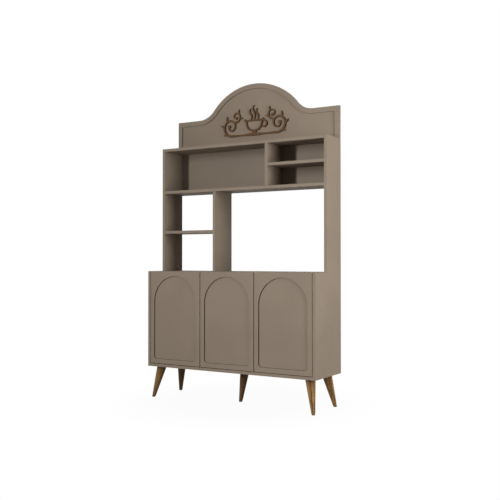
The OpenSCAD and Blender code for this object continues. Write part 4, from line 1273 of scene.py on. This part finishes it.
class CABINET_OT_hutch_boards(bpy.types.Operator):
    """Builds the hutch's sides, boards, dividers and small shelves"""

    bl_idname = "cabinet.hutch_boards"
    bl_label = "Hutch boards"

    def execute(self, context):
        size = fitting_sizes()
        back = [rebate("hutch_back")]
        inner = place("hutch_side_right")[0][0]
        make_board("hutch_side_left", back + stand_cam_pockets("hutch_side_left", -inner, -1))
        make_board("hutch_side_right", back + stand_cam_pockets("hutch_side_right", inner, 1))
        middle = hutch_middle()
        make_board("hutch_top", back + screw_sinks() + end_cam_pockets("hutch_top", size.hutch_cam, middle))
        make_board("hutch_middle_board", back + end_cam_pockets("hutch_middle_board", size.hutch_cam, middle))
        depths = (middle - size.hutch_cam, middle + size.hutch_cam)
        for node in ("hutch_divider_lower", "hutch_divider_upper"):
            make_board(node, upright_cam_pockets(node, depths))
        make_board("hutch_shelf_left")
        make_board("hutch_shelf_right")
        return {"FINISHED"}


class CABINET_OT_back_panels(bpy.types.Operator):
    """Finishes the thin back panels and their pins"""

    bl_idname = "cabinet.back_panels"
    bl_label = "Back panels"

    def execute(self, context):
        finish_nodes(back_panel(True), "hutch_back")
        finish_nodes(back_panel(False), "base_back")
        finish_nodes(steel(), "back_panel_pins")
        return {"FINISHED"}


class CABINET_OT_crest(bpy.types.Operator):
    """Builds the crest panel with its recessed field"""

    bl_idname = "cabinet.crest"
    bl_label = "Crest"

    def execute(self, context):
        crest = shell("crest_board", [crest_grid()], open_seam=True, routed_rows=CREST_ROUTED_ROWS)
        dress(crest, taupe_laminate(), ["crest_panel"], routed_shade=routed_fibre_and_shade())
        finish_nodes(zinc(), "crest_screws")
        return {"FINISHED"}


class CABINET_OT_ornament(bpy.types.Operator):
    """Builds the fretwork ornament on the crest"""

    bl_idname = "cabinet.ornament"
    bl_label = "Ornament"

    def execute(self, context):
        ornament = shell("fretwork_ornament", ornament_grids())
        dress(ornament, stained_fretwork(), ["crest_ornament"])
        return {"FINISHED"}


class CABINET_OT_doors(bpy.types.Operator):
    """Builds the three doors with their arched fields and cup bores"""

    bl_idname = "cabinet.doors"
    bl_label = "Doors"

    def execute(self, context):
        for node, side in DOORS.items():
            door = shell("panel_" + node, [door_grid(node)], routed_rows=DOOR_ROUTED_ROWS)
            paint_door_gap_shade(door, node)
            # The cut keeps the faces' material numbers only where the door has its materials already
            door.data.materials.append(taupe_laminate())
            door.data.materials.append(routed_fibre_and_shade())
            carve(door, cup_bores(node, side))
            dress(door, taupe_laminate(), [node], node, routed_fibre_and_shade())
        return {"FINISHED"}


class CABINET_OT_legs(bpy.types.Operator):
    """Builds the five turned legs and finishes their fixings and glides"""

    bl_idname = "cabinet.legs"
    bl_label = "Legs"

    def execute(self, context):
        for number, (node, lean) in enumerate(CORNER_LEGS.items()):
            make_leg(node, lean, number)
        make_leg("leg_middle", (0, 1), len(CORNER_LEGS))
        finish_nodes(zinc(), "leg_bolts", "leg_inserts")
        finish_nodes(black_plastic(), "leg_glides")
        return {"FINISHED"}


class CABINET_OT_fittings(bpy.types.Operator):
    """Finishes the dowels, cam locks, bolts and shelf pins"""

    bl_idname = "cabinet.fittings"
    bl_label = "Board fittings"

    def execute(self, context):
        finish_nodes(turned_beech(), "base_dowels", "hutch_dowels")
        finish_nodes(zinc(), "base_cams")
        finish_nodes(brown_caps(), "hutch_cams")
        finish_nodes(steel(), "base_cam_bolts", "hutch_cam_bolts", "shelf_pins")
        return {"FINISHED"}


class CABINET_OT_hinges(bpy.types.Operator):
    """Finishes the concealed hinges and their screws"""

    bl_idname = "cabinet.hinges"
    bl_label = "Hinges"

    def execute(self, context):
        finish_nodes(steel(), "hinge_arms", "hinge_plates")
        finish_nodes(zinc(), "hinge_plate_screws")
        for node in DOORS:
            finish_nodes(steel(), node + "_cups")
            finish_nodes(zinc(), node + "_cup_screws")
        return {"FINISHED"}


class CABINET_OT_latches(bpy.types.Operator):
    """Finishes the push latches, their strikes and the bumper pads"""

    bl_idname = "cabinet.latches"
    bl_label = "Push latches"

    def execute(self, context):
        finish_nodes(grey_plastic(), "latch_housings")
        finish_nodes(zinc(), "latch_screws")
        finish_nodes(black_plastic(), "latch_plunger_left", "latch_plunger_middle", "latch_plunger_right")
        for node in DOORS:
            finish_nodes(steel(), node + "_strike")
            finish_nodes(clear_pad(), node + "_pads")
        return {"FINISHED"}


OPERATORS = (
    CABINET_OT_stage, CABINET_OT_base_boards, CABINET_OT_hutch_boards, CABINET_OT_back_panels,
    CABINET_OT_crest, CABINET_OT_ornament, CABINET_OT_doors, CABINET_OT_legs, CABINET_OT_fittings,
    CABINET_OT_hinges, CABINET_OT_latches)


class CABINET_PT_pieces(bpy.types.Panel):
    """Lists the operators that build the cabinet"""

    bl_idname = "CABINET_PT_pieces"
    bl_label = "Coffee bar cabinet"
    bl_space_type = "VIEW_3D"
    bl_region_type = "UI"
    bl_category = "Coffee bar"

    def draw(self, context):
        for operator in OPERATORS:
            self.layout.operator(operator.bl_idname)


GROUPS = {
    "cabinet_sizes": CabinetSizes,
    "cabinet_fittings": FittingSizes,
    "cabinet_ornament": OrnamentSizes,
    "cabinet_colours": CabinetColours,
    "cabinet_studio": Studio,
}


def register():
    """Adds the groups of sizes and colours to the scene, and the operators and their panel to Blender."""
    for group in GROUPS.values():
        bpy.utils.register_class(group)
    for name, group in GROUPS.items():
        setattr(bpy.types.Scene, name, PointerProperty(type=group))
    for operator in OPERATORS:
        bpy.utils.register_class(operator)
    bpy.utils.register_class(CABINET_PT_pieces)


def unregister():
    """Takes away what register added, in reverse order."""
    bpy.utils.unregister_class(CABINET_PT_pieces)
    for operator in reversed(OPERATORS):
        bpy.utils.unregister_class(operator)
    for name in GROUPS:
        delattr(bpy.types.Scene, name)
    for group in reversed(GROUPS.values()):
        bpy.utils.unregister_class(group)


def main():
    """Builds the stage and every piece."""
    register()
    bpy.ops.cabinet.stage()
    bpy.ops.cabinet.base_boards()
    bpy.ops.cabinet.hutch_boards()
    bpy.ops.cabinet.back_panels()
    bpy.ops.cabinet.crest()
    bpy.ops.cabinet.ornament()
    bpy.ops.cabinet.doors()
    bpy.ops.cabinet.legs()
    bpy.ops.cabinet.fittings()
    bpy.ops.cabinet.hinges()
    bpy.ops.cabinet.latches()


if __name__ == "__main__":
    main()
